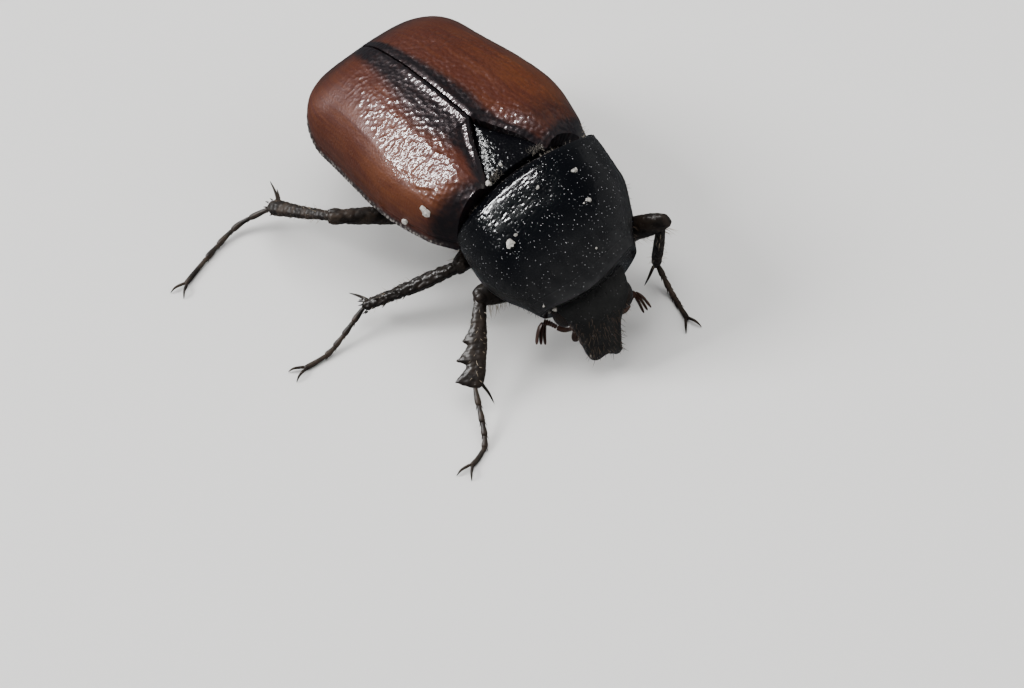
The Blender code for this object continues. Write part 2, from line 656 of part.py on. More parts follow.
def main():
    clear_scene()
    shell = make_material("brown_shell", (0.16, 0.035, 0.014), 0.32)
    black = make_material("black_shell", (0.012, 0.012, 0.015), 0.30)
    belly = make_material("dull_black", (0.014, 0.012, 0.011), 0.45)
    limbs = make_material("leg_black", (0.016, 0.013, 0.012), 0.33)
    eyes = make_material("eye_brown", (0.03, 0.016, 0.008), 0.20)
    horn = make_material("feeler_brown", (0.035, 0.016, 0.010), 0.40)

    stance = Matrix.Translation((*STANCE_SHIFT, WAIST_HEIGHT))
    forebody = (
        stance
        @ Matrix.Translation(FOREBODY_SHIFT)
        @ Matrix.Rotation(math.radians(TURN), 4, "Z")
        @ Matrix.Rotation(math.radians(NOD), 4, "X")
        @ Matrix.Rotation(math.radians(LEAN), 4, "Y")
    )
    skull = (
        forebody
        @ Matrix.Translation(NECK)
        @ Matrix.Rotation(math.radians(HEAD_NOD), 4, "X")
        @ Matrix.Rotation(math.radians(HEAD_LEAN), 4, "Y")
        @ Matrix.Rotation(math.radians(HEAD_TURN), 4, "Z")
    )

    elytra = [
        make_plate(
            name,
            14,
            20,
            lambda across, t, top, side=side: elytron_point(side, across, t, top),
            shell,
            stance,
        )
        for name, side in (("elytron_left", 1), ("elytron_right", -1))
    ]
    scutellum = make_plate("scutellum", 7, 9, scutellum_point, black, stance)
    make_plate("pygidium", 12, 8, pygidium_point, belly, stance)
    thorax = make_trunk("thorax", 26, 14, thorax_point, belly, stance)
    make_trunk("abdomen", 24, 24, abdomen_point, belly, stance)
    prothorax = make_plate("prothorax", 20, 14, pronotum_point, black, forebody)
    for plate in elytra:
        make_socket(plate, prothorax, PLATE_GAP)
    make_head(prothorax, black, eyes, horn, skull)
    for name, leg in LEGS.items():
        trunk = prothorax if name.startswith("fore") else thorax
        make_leg(name, leg, trunk, forebody, stance, limbs)


main()
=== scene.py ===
import math
import random

import bmesh
import bpy
from mathutils import Matrix, Vector, noise
from mathutils.bvhtree import BVHTree


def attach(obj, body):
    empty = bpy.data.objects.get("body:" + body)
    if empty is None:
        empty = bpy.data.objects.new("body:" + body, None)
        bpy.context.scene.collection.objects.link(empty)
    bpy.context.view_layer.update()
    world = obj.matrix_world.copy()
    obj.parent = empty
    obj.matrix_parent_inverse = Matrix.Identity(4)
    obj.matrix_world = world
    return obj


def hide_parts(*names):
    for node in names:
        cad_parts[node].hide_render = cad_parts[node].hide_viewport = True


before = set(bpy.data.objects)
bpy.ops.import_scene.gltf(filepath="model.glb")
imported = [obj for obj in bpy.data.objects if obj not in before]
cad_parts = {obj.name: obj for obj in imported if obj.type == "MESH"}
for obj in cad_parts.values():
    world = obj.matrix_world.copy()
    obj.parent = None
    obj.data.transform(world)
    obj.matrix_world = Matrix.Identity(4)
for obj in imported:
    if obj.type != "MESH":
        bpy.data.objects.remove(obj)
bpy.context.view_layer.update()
millimetre = 0.001
weldDistance = 0.0004  # millimetres

# How the beetle stands: places are (left, back, up) in millimetres, turns are in degrees
stance = {
    "waist": (2.25, -2.06, 3.20),
    "foreShift": (0.14, 0, 0.24),
    "foreTurn": -9.0,
    "foreNod": 13.0,
    "foreLean": -20.0,
    "neck": (-0.07, -3.65, 0.25),
    "headNod": 49.5,
    "headLean": 4.8,
    "headTurn": -22.5,
    "floor": -3.20,  # height of the floor from the waist
}


def turned(degrees, axis):
    return Matrix.Rotation(math.radians(degrees), 4, axis)


def addObject(name, data):
    made = bpy.data.objects.new(name, data)
    bpy.context.scene.collection.objects.link(made)
    return made


def takeMesh(bm, name):
    mesh = bpy.data.meshes.new(name)
    bm.to_mesh(mesh)
    bm.free()
    return mesh


bodyPlace = Matrix.Scale(millimetre, 4) @ Matrix.Translation(stance["waist"])
foreInBody = (
    Matrix.Translation(stance["foreShift"])
    @ turned(stance["foreTurn"], "Z")
    @ turned(stance["foreNod"], "X")
    @ turned(stance["foreLean"], "Y")
)
headInFore = (
    Matrix.Translation(stance["neck"])
    @ turned(stance["headNod"], "X")
    @ turned(stance["headLean"], "Y")
    @ turned(stance["headTurn"], "Z")
)
forePlace = bodyPlace @ foreInBody
headPlace = forePlace @ headInFore

# Camera on the beetle's right, in front and above
viewpoint = {
    "azimuth": -29.07,
    "elevation": 47.52,
    "roll": 12.56,
    "distance": 150.0,  # millimetres from the waist
    "lens": 177.6,
    "sensor": 36,
    "picture": (1024, 688),
    "aim": (-0.395, -4.333),  # middle of the picture, right and up from the waist
}


def setCamera():
    azimuth, elevation, roll = (math.radians(viewpoint[k]) for k in ("azimuth", "elevation", "roll"))
    level = Vector((math.cos(azimuth), math.sin(azimuth), 0))
    back = Vector((math.sin(azimuth), -math.cos(azimuth), 0)) * math.cos(elevation)
    back.z = math.sin(elevation)
    raised = back.cross(level)
    right = level * math.cos(roll) - raised * math.sin(roll)
    up = level * math.sin(roll) + raised * math.cos(roll)
    waist = Vector(stance["waist"])
    standpoint = waist + back * viewpoint["distance"]
    aim = waist + right * viewpoint["aim"][0] + up * viewpoint["aim"][1]
    back = (standpoint - aim).normalized()
    right = (right - back * right.dot(back)).normalized()
    data = bpy.data.cameras.new("camera")
    data.lens = viewpoint["lens"]
    data.sensor_width = viewpoint["sensor"]
    data.clip_start = 0.001
    data.clip_end = 20
    made = addObject("camera", data)
    facing = Matrix((right, back.cross(right), back)).transposed().to_4x4()
    made.matrix_world = Matrix.Translation(standpoint * millimetre) @ facing
    bpy.context.scene.camera = made
    return made


camera = setCamera()
print("camera set")


# Curves that the pieces share

def smoothAlong(stations, t):
    # a smooth curve through (place, value) stations that never overshoots them
    places = [s[0] for s in stations]
    values = [s[1] for s in stations]
    t = min(max(t, places[0]), places[-1])
    steps = [(values[i + 1] - values[i]) / (places[i + 1] - places[i]) for i in range(len(places) - 1)]

    def slope(i):
        if i == 0 or i == len(places) - 1:
            return steps[min(i, len(steps) - 1)]
        before, after = steps[i - 1], steps[i]
        return 0.0 if before * after <= 0 else 2 * before * after / (before + after)

    i = max(k for k in range(len(steps)) if places[k] <= t)
    width = places[i + 1] - places[i]
    s = (t - places[i]) / width
    ends = values[i] * (1 + 2 * s) * (1 - s) ** 2 + values[i + 1] * s * s * (3 - 2 * s)
    return ends + width * (slope(i) * s * (1 - s) ** 2 - slope(i + 1) * s * s * (1 - s))


def signedPower(value, power):
    return math.copysign(abs(value) ** power, value)


def hump(distance, width):
    return math.exp(-((distance / width) ** 2))


def fade(value, low, high):
    # 0 below low, 1 above high, smooth between
    s = min(max((value - low) / (high - low), 0.0), 1.0)
    return s * s * (3 - 2 * s)


def roundCorners(across, lengthwise, amount):
    return (
        across * math.sqrt(1 - amount * lengthwise**2 / 2),
        lengthwise * math.sqrt(1 - amount * across**2 / 2),
    )


def pointAlong(points, t):
    # a smooth path through the points, t from 0 to 1 by length
    lengths = [(b - a).length for a, b in zip(points, points[1:])]
    left = t * sum(lengths)
    i = 0
    while i < len(lengths) - 1 and left > lengths[i]:
        left -= lengths[i]
        i += 1
    s = left / lengths[i]
    here, there = points[i], points[i + 1]
    before = points[i - 1] if i else here * 2 - there
    after = points[i + 2] if i + 2 < len(points) else there * 2 - here
    return 0.5 * (
        2 * here
        + (there - before) * s
        + (2 * before - 5 * here + 4 * there - after) * s * s
        + (3 * here - before - 3 * there + after) * s**3
    )


# Building blocks in bmesh, all in millimetres until a piece is finished

def addPlate(bm, grid, shape, paint=None):
    # a grid and its extruded copy, both laid out by shape(across, t, top)
    under = bmesh.ops.create_grid(bm, x_segments=grid[0], y_segments=grid[1], size=1.0)["verts"]
    faces = list({f for v in under for f in v.link_faces})
    made = bmesh.ops.extrude_face_region(bm, geom=faces)["geom"]
    over = [v for v in made if isinstance(v, bmesh.types.BMVert)]
    for verts, top in ((under, False), (over, True)):
        for vert in verts:
            across, t = vert.co.x, 0.5 * (vert.co.y + 1)
            if paint:
                paint(vert, across, t, top)
            vert.co = shape(across, t, top)
    return over


def addSleeve(bm, sides, rings, shape):
    # a sphere laid out by shape(t, angle), with its poles at t = 0 and t = 1
    verts = bmesh.ops.create_uvsphere(bm, u_segments=sides, v_segments=rings, radius=1.0)["verts"]
    for vert in verts:
        t = math.acos(max(-1.0, min(1.0, -vert.co.z))) / math.pi
        vert.co = shape(t, math.atan2(vert.co.y, vert.co.x))
    return verts


def addRod(bm, points, girth, wide, sides=14, rings=18, flatness=1.0, keels=0.0, edge=None):
    # a limb along the points; girth is (t, half width), and edge(t) widens its wide side
    wide = Vector(wide)

    def shape(t, angle):
        forward = (pointAlong(points, min(t + 0.02, 1)) - pointAlong(points, max(t - 0.02, 0))).normalized()
        broad = (wide - forward * wide.dot(forward)).normalized()
        closing = (1 - abs(2 * t - 1) ** 8) ** 0.125 if 0 < t < 1 else 0.0
        radius = smoothAlong(girth, t) * closing * (1 + keels * math.cos(6 * angle))
        side = radius * math.cos(angle)
        depth = radius * flatness * math.sin(angle)
        if edge and math.cos(angle) > 0:
            side += edge(t) * closing * math.cos(angle) ** 1.5
        return pointAlong(points, t) + broad * side + forward.cross(broad) * depth

    return addSleeve(bm, sides, rings, shape)


def addSpine(bm, base, heading, length, radius, bend=(0, 0, 0)):
    tip = base + heading.normalized() * length
    middle = base.lerp(tip, 0.5) + Vector(bend) * length
    wide = heading.orthogonal()
    addRod(bm, [base, middle, tip], [(0, radius), (0.5, 0.72 * radius), (1, 0.16 * radius)], wide, 7, 8)


def roughen(bm, verts, size, height):
    # gentle unevenness, size across and height deep
    bm.normal_update()
    for vert in verts:
        vert.co += vert.normal * height * noise.noise(vert.co / size)


def roughenWith(bm, verts, spacing, height, power=1.0, reach=0.62, share=None):
    # rounded granules (or pits where height is negative) a spacing apart
    bm.normal_update()
    moves = []
    for vert in verts:
        far = noise.voronoi(vert.co / spacing)[0][0]
        swell = max(0.0, 1 - (far / reach) ** 2) ** power
        moves.append((vert, vert.normal * height * swell * (vert[share] if share else 1.0)))
    for vert, move in moves:
        vert.co += move


def finishPiece(name, bm, place, material, nodes=(), crease=50):
    bmesh.ops.remove_doubles(bm, verts=bm.verts, dist=weldDistance)
    bmesh.ops.recalc_face_normals(bm, faces=bm.faces)
    bmesh.ops.transform(bm, matrix=place, verts=bm.verts)
    mesh = takeMesh(bm, name)
    mesh.shade_smooth()
    mesh.set_sharp_from_angle(angle=math.radians(crease))
    mesh.materials.append(material)
    piece = addObject(name, mesh)
    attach(piece, "root")
    if nodes:
        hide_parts(*nodes)
    print("made", name)
    return piece


# Finishes. Scales are per metre, depths in metres.

def setInputs(node, inputs):
    # inputs maps a socket's name or number to a value or to another node's output
    for key, value in inputs.items():
        if isinstance(value, bpy.types.NodeSocket):
            node.id_data.links.new(value, node.inputs[key])
        else:
            node.inputs[key].default_value = value


def addNode(tree, kind, inputs=None, **settings):
    made = tree.nodes.new("ShaderNode" + kind)
    for key, value in settings.items():
        setattr(made, key, value)
    setInputs(made, inputs or {})
    return made


def startFinish(name, inputs):
    material = bpy.data.materials.new(name)
    material.use_nodes = True
    tree = material.node_tree
    shader = tree.nodes["Principled BSDF"]
    setInputs(shader, {"IOR": 1.56, "Coat Roughness": 0.12, **inputs})
    coords = addNode(tree, "TexCoord").outputs["Object"]
    return material, tree, shader, coords


def combine(tree, operation, first, second, clamp=False):
    return addNode(tree, "Math", {0: first, 1: second}, operation=operation, use_clamp=clamp).outputs[0]


def readAttribute(tree, name, output="Fac"):
    return addNode(tree, "Attribute", attribute_name=name).outputs[output]


def mixColours(tree, amount, first, second):
    made = addNode(tree, "Mix", {0: amount, 6: first, 7: second}, data_type="RGBA")
    return made.outputs[2]


def remap(tree, value, low, high, start=0.0, end=1.0):
    made = addNode(
        tree, "MapRange", {0: value, 1: low, 2: high, 3: start, 4: end}, interpolation_type="SMOOTHSTEP"
    )
    return made.outputs[0]


def cells(tree, coords, scale, feature="F1"):
    return addNode(tree, "TexVoronoi", {"Vector": coords, "Scale": scale}, feature=feature)


def clouds(tree, coords, scale, detail=3.0):
    made = addNode(tree, "TexNoise", {"Vector": coords, "Scale": scale, "Detail": detail})
    return made.outputs["Fac"]


def addBump(tree, height, depth, strength=1.0, under=None):
    made = addNode(tree, "Bump", {"Height": height, "Distance": depth, "Strength": strength})
    if under:
        setInputs(made, {"Normal": under})
    return made.outputs["Normal"]


hornIor = 1.42
wingCaseFinish = {
    "brown": (0.063, 0.0165, 0.0090, 1),
    "orange": (0.104, 0.030, 0.0090, 1),
    "black": (0.005, 0.004, 0.005, 1),
    "silver": (0.26, 0.24, 0.22, 1),  # painted glints on the beads along the side rim, partly pale dust
    "inputs": {
        "Roughness": 0.40,
        "IOR": hornIor,
        "Specular Tint": (1, 0.80, 0.82, 1),
        "Coat Weight": 0.65,
        "Coat Roughness": 0.09,
    },
    "roughness": (0.36, 0.46),
    "streak": 0.34,  # how strongly the long fine streaks show
    "cloud": 900.0,
    "fine": 6000.0,
    "bead": 9000.0,
    "grain": 13000.0,
    "grainDepth": 0.0000035,
}


def makeWingCaseFinish():
    look = wingCaseFinish
    material, tree, shader, coords = startFinish("wing case horn", look["inputs"])
    cloud = clouds(tree, coords, look["cloud"])
    streaks = clouds(tree, readAttribute(tree, "laid", "Vector"), 1.0, 4.0)
    shift = remap(tree, streaks, 0.3, 0.7, -look["streak"], look["streak"])
    light = readAttribute(tree, "light")
    warm = combine(tree, "MULTIPLY", light, remap(tree, cloud, 0.3, 0.7, 0.6, 1.2))
    warmer = combine(tree, "ADD", warm, shift, clamp=True)
    horn = mixColours(tree, warmer, look["brown"], look["orange"])
    fine = remap(tree, clouds(tree, coords, look["fine"]), 0.3, 0.7, -0.10, 0.10)
    dark = combine(tree, "ADD", readAttribute(tree, "dark"), fine, clamp=True)
    painted = mixColours(tree, dark, horn, look["black"])
    beads = remap(tree, cells(tree, coords, look["bead"]).outputs["Distance"], 0.25, 0.55, 1.0, 0.1)
    # mask of painted rim glints: grey-silver dots along the side rim bead, partly standing for pale dust
    # there
    sheenAndDust = combine(tree, "MULTIPLY", readAttribute(tree, "rim"), beads)
    granules = cells(tree, coords, look["grain"], "SMOOTH_F1").outputs["Distance"]
    bump = addBump(tree, remap(tree, granules, 0.0, 0.65, 1.0, 0.0), look["grainDepth"])
    setInputs(shader, {
        "Base Color": mixColours(tree, sheenAndDust, painted, look["silver"]),
        "Roughness": remap(tree, cloud, 0.25, 0.75, *look["roughness"]),
        "Normal": bump,
        "Coat Normal": bump,
    })
    return material


# Dark horn: colour, the grey painted where the satin attribute lies (painted sheen on the shield's edges,
# partly fine grey hairs; dust on the legs), roughness, scale of the pits and their depth, how much the pale
# specks in them show (painted glints, partly bristles), how evenly the painted sheen and dust lie
pittedHorn = {
    "shield": ((0.0012, 0.0015, 0.0024, 1), (0.021, 0.021, 0.0215, 1), 0.13, 11500.0, 0.000004, 0.9, 0.75),
    "scutellum": ((0.002, 0.002, 0.003, 1), (0.020, 0.020, 0.021, 1), 0.24, 6400.0, 0.000008, 0.35, 0.75),
    "head": ((0.008, 0.008, 0.008, 1), (0.019, 0.019, 0.018, 1), 0.42, 8000.0, 0.000022, 0.28, 0.75),
    "belly": ((0.010, 0.009, 0.009, 1), (0.03, 0.028, 0.026, 1), 0.36, 6000.0, 0.000014, 0.15, 0.75),
    "leg": ((0.009, 0.007, 0.006, 1), (0.045, 0.031, 0.022, 1), 0.38, 8200.0, 0.000012, 0.05, 0.1),
}
# colour of the painted glints in the pits, partly standing for pale bristles
pitGlintColour = (0.36, 0.36, 0.37, 1)


def makePittedFinish(name, colour, sheenAndDust, roughness, pit, depth, speck, even):
    material, tree, shader, coords = startFinish(name, {"Roughness": roughness, "IOR": hornIor})
    satin = readAttribute(tree, "satin")
    holes = cells(tree, coords, pit)
    far = holes.outputs["Distance"]
    # pale specks in the pits: painted glints, partly bristles
    pick = addNode(tree, "SeparateColor", {0: holes.outputs["Color"]})
    near = combine(tree, "DIVIDE", far, remap(tree, pick.outputs[1], 0.0, 1.0, 0.10, 0.22))
    edge = remap(tree, near, 0.5, 1.0, 1.0, 0.0)
    spot = combine(tree, "MULTIPLY", edge, remap(tree, pick.outputs[0], -0.25, 0.8))
    shown = combine(tree, "MULTIPLY", spot, remap(tree, satin, 0.0, 1.0, speck, 0.6 * speck))
    cloud = clouds(tree, coords, 2600.0, 3.0)
    # share of the grey colour: painted sheen where satin marks the shield's edges, dust on the legs
    sheenAndDustShare = combine(tree, "MULTIPLY", satin, remap(tree, cloud, 0.35, 0.65, even, 1.1), clamp=True)
    skin = addBump(tree, cloud, 0.000006, 0.8)
    setInputs(shader, {
        "Base Color": mixColours(tree, shown, mixColours(tree, sheenAndDustShare, colour, sheenAndDust), pitGlintColour),
        "Roughness": remap(tree, satin, 0.0, 1.0, roughness, roughness + 0.18),
        "Normal": addBump(tree, remap(tree, far, 0.06, 0.26), depth, under=skin),
    })
    return material


eyeFinish = {
    "inputs": {"Base Color": (0.012, 0.008, 0.006, 1), "Roughness": 0.16, "Coat Weight": 0.5},
    "facets": 24000.0,
    "depth": 0.000006,
}


def makeEyeFinish():
    material, tree, shader, coords = startFinish("eye facets", eyeFinish["inputs"])
    facets = cells(tree, coords, eyeFinish["facets"]).outputs["Distance"]
    lens = remap(tree, facets, 0.0, 0.6, 1.0, 0.0)
    setInputs(shader, {"Normal": addBump(tree, lens, eyeFinish["depth"])})
    return material


# Mottled finishes: name, roughness, coat, scale of the mottling, the two colours, depth of the bumps
mottled = {
    "feeler": ("feeler horn", 0.38, 0.1, 4000.0, (0.020, 0.010, 0.007, 1), (0.055, 0.022, 0.012, 1), 0.00001),
    "paleHair": ("pale hair", 0.45, 0.0, 3000.0, (0.30, 0.24, 0.17, 1), (0.46, 0.39, 0.30, 1), 0),
    "greyHair": ("grey hair", 0.45, 0.0, 3000.0, (0.16, 0.14, 0.12, 1), (0.30, 0.27, 0.23, 1), 0),
    "darkHair": ("dark hair", 0.45, 0.0, 3000.0, (0.035, 0.024, 0.017, 1), (0.10, 0.07, 0.05, 1), 0),
    "pollen": ("pollen crumb", 0.45, 0.0, 3000.0, (0.26, 0.24, 0.21, 1), (0.56, 0.54, 0.50, 1), 0),
}


def makeMottledFinish(name, roughness, coat, scale, first, second, depth):
    material, tree, shader, coords = startFinish(name, {"Roughness": roughness, "Coat Weight": coat})
    cloud = clouds(tree, coords, scale)
    setInputs(shader, {"Base Color": mixColours(tree, cloud, first, second)})
    if depth:
        setInputs(shader, {"Normal": addBump(tree, cloud, depth, 0.8)})
    return material


finishes = {"wingCase": makeWingCaseFinish(), "eye": makeEyeFinish()}
for kind, look in pittedHorn.items():
    finishes[kind] = makePittedFinish(kind + " horn", *look)
for kind, look in mottled.items():
    finishes[kind] = makeMottledFinish(*look)
print("finishes ready")


# Wing cases: t runs from the base (0) to the end (1), across from the seam (-1) to the side (1)
wingCase = {
    "length": 8.00,
    "width": 6.09,
    "thickness": 0.40,
    "start": 0.08,
    "gap": 0.05,  # at the seam
    "top": [(0.0, 1.58), (0.12, 1.84), (0.35, 1.88), (0.6, 1.79), (0.85, 1.40), (1.0, 1.10)],
    "edge": [(0.0, -0.25), (0.12, -0.12), (0.5, -0.36), (0.8, -0.60), (1.0, 0.42)],
    "half": [(0.0, 0.80), (0.12, 0.975), (0.35, 1.055), (0.8, 0.96), (1.0, 0.955)],
    "turn": 0.78,  # where they start to round down behind
    "endHalf": 0.32,
    "sideAngle": 93.5,
    "ridge": 0.10,  # height of the ridge beside the seam
    "ridgeWidth": 0.11,
    "rim": 0.062,  # bead along the side
    "rimBeads": 330,
    "rib": 0.02,
    "ribPlaces": (0.26, 0.50),
    "notchDip": 0.30,
    "leftSwell": 0.15,  # the left case stands a little fuller
    "uneven": (0.6, 0.006),  # size across and height
    "granules": (0.150, 0.028),  # how far apart and how high
    "grid": (148, 305),
    # width of the black band beside the seam along the wing case, and its share on each side
    "band": [(0.0, 0.30), (0.15, 0.36), (0.26, 0.78), (0.38, 0.96), (0.55, 0.76), (0.8, 0.50), (1.0, 0.44)],
    "bandShare": {1: 0.42, -1: 1.05},
}
scutellum = {
    "length": 2.20,
    "width": 2.05,
    "height": 1.40,
    "rise": 0.27,  # towards its tip
    "arch": 0.22,  # from side to side
    "thickness": 0.50,
    "gap": 0.06,
    "grid": (110, 110),
    "uneven": (0.25, 0.010),
    "granules": (0.12, 0.014),
}


def wingCasePlaces(across, t):
    # shared numbers of a point: how far round it is, along it, and how open the scutellum notch is
    u = 0.5 * (across + 1)
    u -= 0.03 * math.sin(math.tau * u)  # closer columns at the seam and the rim
    t = 1 - (1 - t) ** 1.3
    t += 0.012 * u**4 * (1 - t) ** 8
    reach = (scutellum["length"] - wingCase["start"]) / wingCase["length"]
    notch = max(0.0, 1 - t / reach) ** 0.8
    return u, t, notch


def wingCasePoint(side, across, t, top):
    u, t, notch = wingCasePlaces(across, t)
    turn = max(0.0, (t - wingCase["turn"]) / (1 - wingCase["turn"]))
    closing = math.sqrt(max(0.0, 1 - turn**3))
    inset = 0.0 if top else wingCase["thickness"] * (1 - 0.7 * u**6)
    seam = 0.5 * wingCase["gap"] + notch * 0.5 * scutellum["width"]
    half = 0.5 * wingCase["width"] * smoothAlong(wingCase["half"], t) - inset
    half *= wingCase["endHalf"] + (1 - wingCase["endHalf"]) * closing
    angle = u * math.radians(wingCase["sideAngle"])
    edge = smoothAlong(wingCase["edge"], t)
    crown = edge + (smoothAlong(wingCase["top"], t) - edge - inset) * closing
    x = seam + (half - seam) * math.sin(angle) ** 0.88
    z = edge + (crown - edge) * signedPower(math.cos(angle), 0.80)
    if top:
        width = wingCase["ridgeWidth"]
        ridge = wingCase["ridge"] * (0.6 - 0.2 * side) * hump(x - seam - width, width)
        z += ridge * fade(t, 0.02, 0.12) * (1 - 0.75 * fade(t, 0.45, 0.75)) * closing
        for place in wingCase["ribPlaces"]:
            z += wingCase["rib"] * hump(u - place, 0.035) * fade(t, 0.1, 0.3) * (1 - fade(t, 0.7, 0.9))
        z -= wingCase["notchDip"] * notch**0.5 * hump(u, 0.10)
        beads = 1 + 0.12 * math.cos(wingCase["rimBeads"] * t)
        x += wingCase["rim"] * (beads * hump(u - 0.985, 0.015) - 0.9 * hump(u - 0.955, 0.014))
    if side > 0:
        swell = wingCase["leftSwell"] * math.sin(angle) * fade(t, 0.05, 0.35)
        x += swell * (1 - fade(t, 0.78, 0.98))
        z += swell * (1 - fade(t, 0.78, 0.98))
    y = wingCase["start"] + t * (wingCase["length"] - inset)
    return Vector((side * x, y, z))


def wingCaseTones(side, across, t):
    # how black and how light the horn is
    u, t, notch = wingCasePlaces(across, t)
    arc = u * 4.2 * (1 - 0.25 * notch)  # rough distance from the seam
    band = smoothAlong(wingCase["band"], t) * wingCase["bandShare"][side]
    seamBand = 1 - fade(arc, 0.55 * band, 1.25 * band)
    base = 1 - fade(t, 0.005 + 0.07 * u, 0.06 + 0.10 * u)
    base = max(base, 0.25 * (1 + side) * (1 - fade(t, 0.10, 0.24)))
    notchRim = notch**0.3 * (1 - fade(arc, 0.10, 0.34)) if notch > 0 else 0.0
    sideRim = fade(u, 0.955, 0.975)
    tail = 0.85 * fade(t, 0.88, 1.0) * (1 - fade(u, 0.35, 0.8))
    shoulder = 0.9 * hump(u - 0.95, 0.16) * (1 - fade(t, 0.07, 0.19))
    dark = max(seamBand, base, notchRim, sideRim, tail, shoulder)
    light = hump(u - 0.58, 0.30) * (0.30 + 0.70 * hump(t - 0.30, 0.28))
    return dark, light


def makeWingCase(name, side, node):
    bm = bmesh.new()
    darkLayer = bm.verts.layers.float.new("dark")
    lightLayer = bm.verts.layers.float.new("light")
    coarseLayer = bm.verts.layers.float.new("coarse")
    rimLayer = bm.verts.layers.float.new("rim")
    laidLayer = bm.verts.layers.float_vector.new("laid")

    def paint(vert, across, t, top):
        vert[darkLayer], vert[lightLayer] = wingCaseTones(side, across, t)
        u, t, notch = wingCasePlaces(across, t)
        # where the painted rim glints go; stronger on the right case, which faces the light
        vert[rimLayer] = hump(u - 0.982, 0.010) * fade(t, 0.02, 0.1) * (0.9 if side < 0 else 0.6)
        lateral = fade(u + 0.35 * (t - 0.15), 0.54, 0.64)
        behind = fade(t + 0.45 * (u - 0.35), 0.66, 0.86)
        vert[coarseLayer] = (1 - 0.94 * lateral) * (1 - 0.85 * behind)
        vert[laidLayer] = Vector((u * 38 + side * 50, t * 5, 0))

    over = addPlate(bm, wingCase["grid"], lambda *place: wingCasePoint(side, *place), paint)
    roughen(bm, over, *wingCase["uneven"])
    roughenWith(bm, over, *wingCase["granules"], reach=0.9, share=coarseLayer)
    return finishPiece(name, bm, bodyPlace, finishes["wingCase"], [node])


wingCases = [
    makeWingCase("wingCaseLeft", 1, "elytron_left"),
    makeWingCase("wingCaseRight", -1, "elytron_right"),
]


def scutellumPoint(across, t, top):
    half = 0.5 * scutellum["width"] * (1 - t) ** 0.8 + 0.05
    crown = scutellum["height"] + scutellum["rise"] * math.sqrt(t)
    crown -= scutellum["arch"] * across**2 * (0.4 + 0.6 * t)
    x = across * (half - scutellum["gap"] * (1 - t))
    if not top:
        crown -= scutellum["thickness"] * (1 - 0.3 * t)
        x *= 0.85
    return Vector((x, 0.12 + (scutellum["length"] - 0.24) * t, crown))


def makeScutellum():
    bm = bmesh.new()
    over = addPlate(bm, scutellum["grid"], scutellumPoint)
    roughen(bm, over, *scutellum["uneven"])
    roughenWith(bm, over, *scutellum["granules"])
    finish = finishes["scutellum"]
    return finishPiece("scutellumTriangle", bm, bodyPlace, finish, ["scutellum"])


scutellumPiece = makeScutellum()


# Shield (pronotum) with the fore body under it: t runs from the head (0) to the wing cases (1)
shield = {
    "length": 3.83,
    "width": 5.36,
    "rise": 1.56,
    "margin": 0.20,
    "half": [(0.0, 0.66), (0.12, 0.74), (0.35, 0.90), (0.58, 0.98), (0.8, 0.97), (1.0, 0.95)],
    "arch": [(0.0, 0.42), (0.25, 0.89), (0.55, 1.0), (0.85, 0.965), (0.935, 0.85), (1.0, 0.32)],
    "tuck": 0.08,  # the left front corner is turned in
    "depth": 1.15,
    "bead": 0.04,
    "hindLobe": 0.15,
    "frontLobe": 0.45,
    "grid": (230, 170),
    "uneven": (0.55, 0.012),
    "pits": (0.135, -0.008),  # how far apart and how deep
}


def shieldPoint(across, t, top):
    lengthwise = 2 * t - 1
    across, lengthwise = roundCorners(across, lengthwise, 0.25 if lengthwise < 0 else 0.04)
    t = 0.5 * (lengthwise + 1)
    half = 0.5 * shield["width"] * smoothAlong(shield["half"], t)
    angle = across * math.radians(90)
    arch = max(0.0, math.cos(angle))
    x = half * signedPower(math.sin(angle), 0.94) * (1 - shield["tuck"] * fade(across, 0.2, 1) * (1 - t))
    hindLobe = shield["hindLobe"] * hump(across, 0.34) * t**3
    frontLobe = shield["frontLobe"] * hump(across, 0.55) * (1 - t) ** 3
    y = -shield["length"] * (1 - t) + hindLobe - frontLobe
    if top:
        z = shield["margin"] + 0.12 + shield["rise"] * smoothAlong(shield["arch"], t) * arch**0.85
        x += math.copysign(shield["bead"] * hump(1 - abs(across), 0.02), x)
        z += 0.04 * hump(1 - t, 0.02) + 0.03 * hump(t, 0.02)
    else:
        z = shield["margin"] - 0.12 - shield["depth"] * arch**0.9
        x *= 0.97
        y += (0.55 * (1 - t) ** 2 - 0.62 * t) * arch
    return Vector((x, y, z))


def makeShield():
    bm = bmesh.new()
    satinLayer = bm.verts.layers.float.new("satin")

    def paint(vert, across, t, top):
        # painted grey sheen along the front and side edges of the shield's top, partly fine grey hairs; none
        # on the under side and front wall
        edges = max(1 - fade(t, -0.15, 0.50), 0.9 * fade(abs(across), 0.32, 0.95) * (1 - 0.3 * t))
        vert[satinLayer] = edges if top else 0.0

    over = addPlate(bm, shield["grid"], shieldPoint, paint)
    roughen(bm, over, *shield["uneven"])
    roughenWith(bm, over, *shield["pits"], power=2.0, reach=0.5)
    return finishPiece("shieldPlate", bm, forePlace, finishes["shield"], ["prothorax"])


shieldPiece = makeShield()

# Head, from its own neck point: t runs from the clypeus edge (0) to the back (1)
head = {
    "length": 3.00,
    "back": 0.60,
    "width": 2.30,
    "height": 0.70,
    "depth": 0.80,
    "half": [(0.0, 0.44), (0.16, 0.51), (0.34, 0.62), (0.48, 0.84), (0.62, 1.0), (0.8, 1.0), (1.0, 0.85)],
    "swell": [(0.0, 0.34), (0.28, 0.58), (0.50, 0.90), (0.62, 0.84), (0.8, 0.40), (1.0, 0.05)],
    "notch": 0.14,
    "eye": (0.92, -0.72, 0.02),
    "eyeRadii": (0.33, 0.46, 0.42),
    "grid": (110, 130),
    "uneven": (0.4, 0.018),
    "pits": (0.13, -0.012),
}


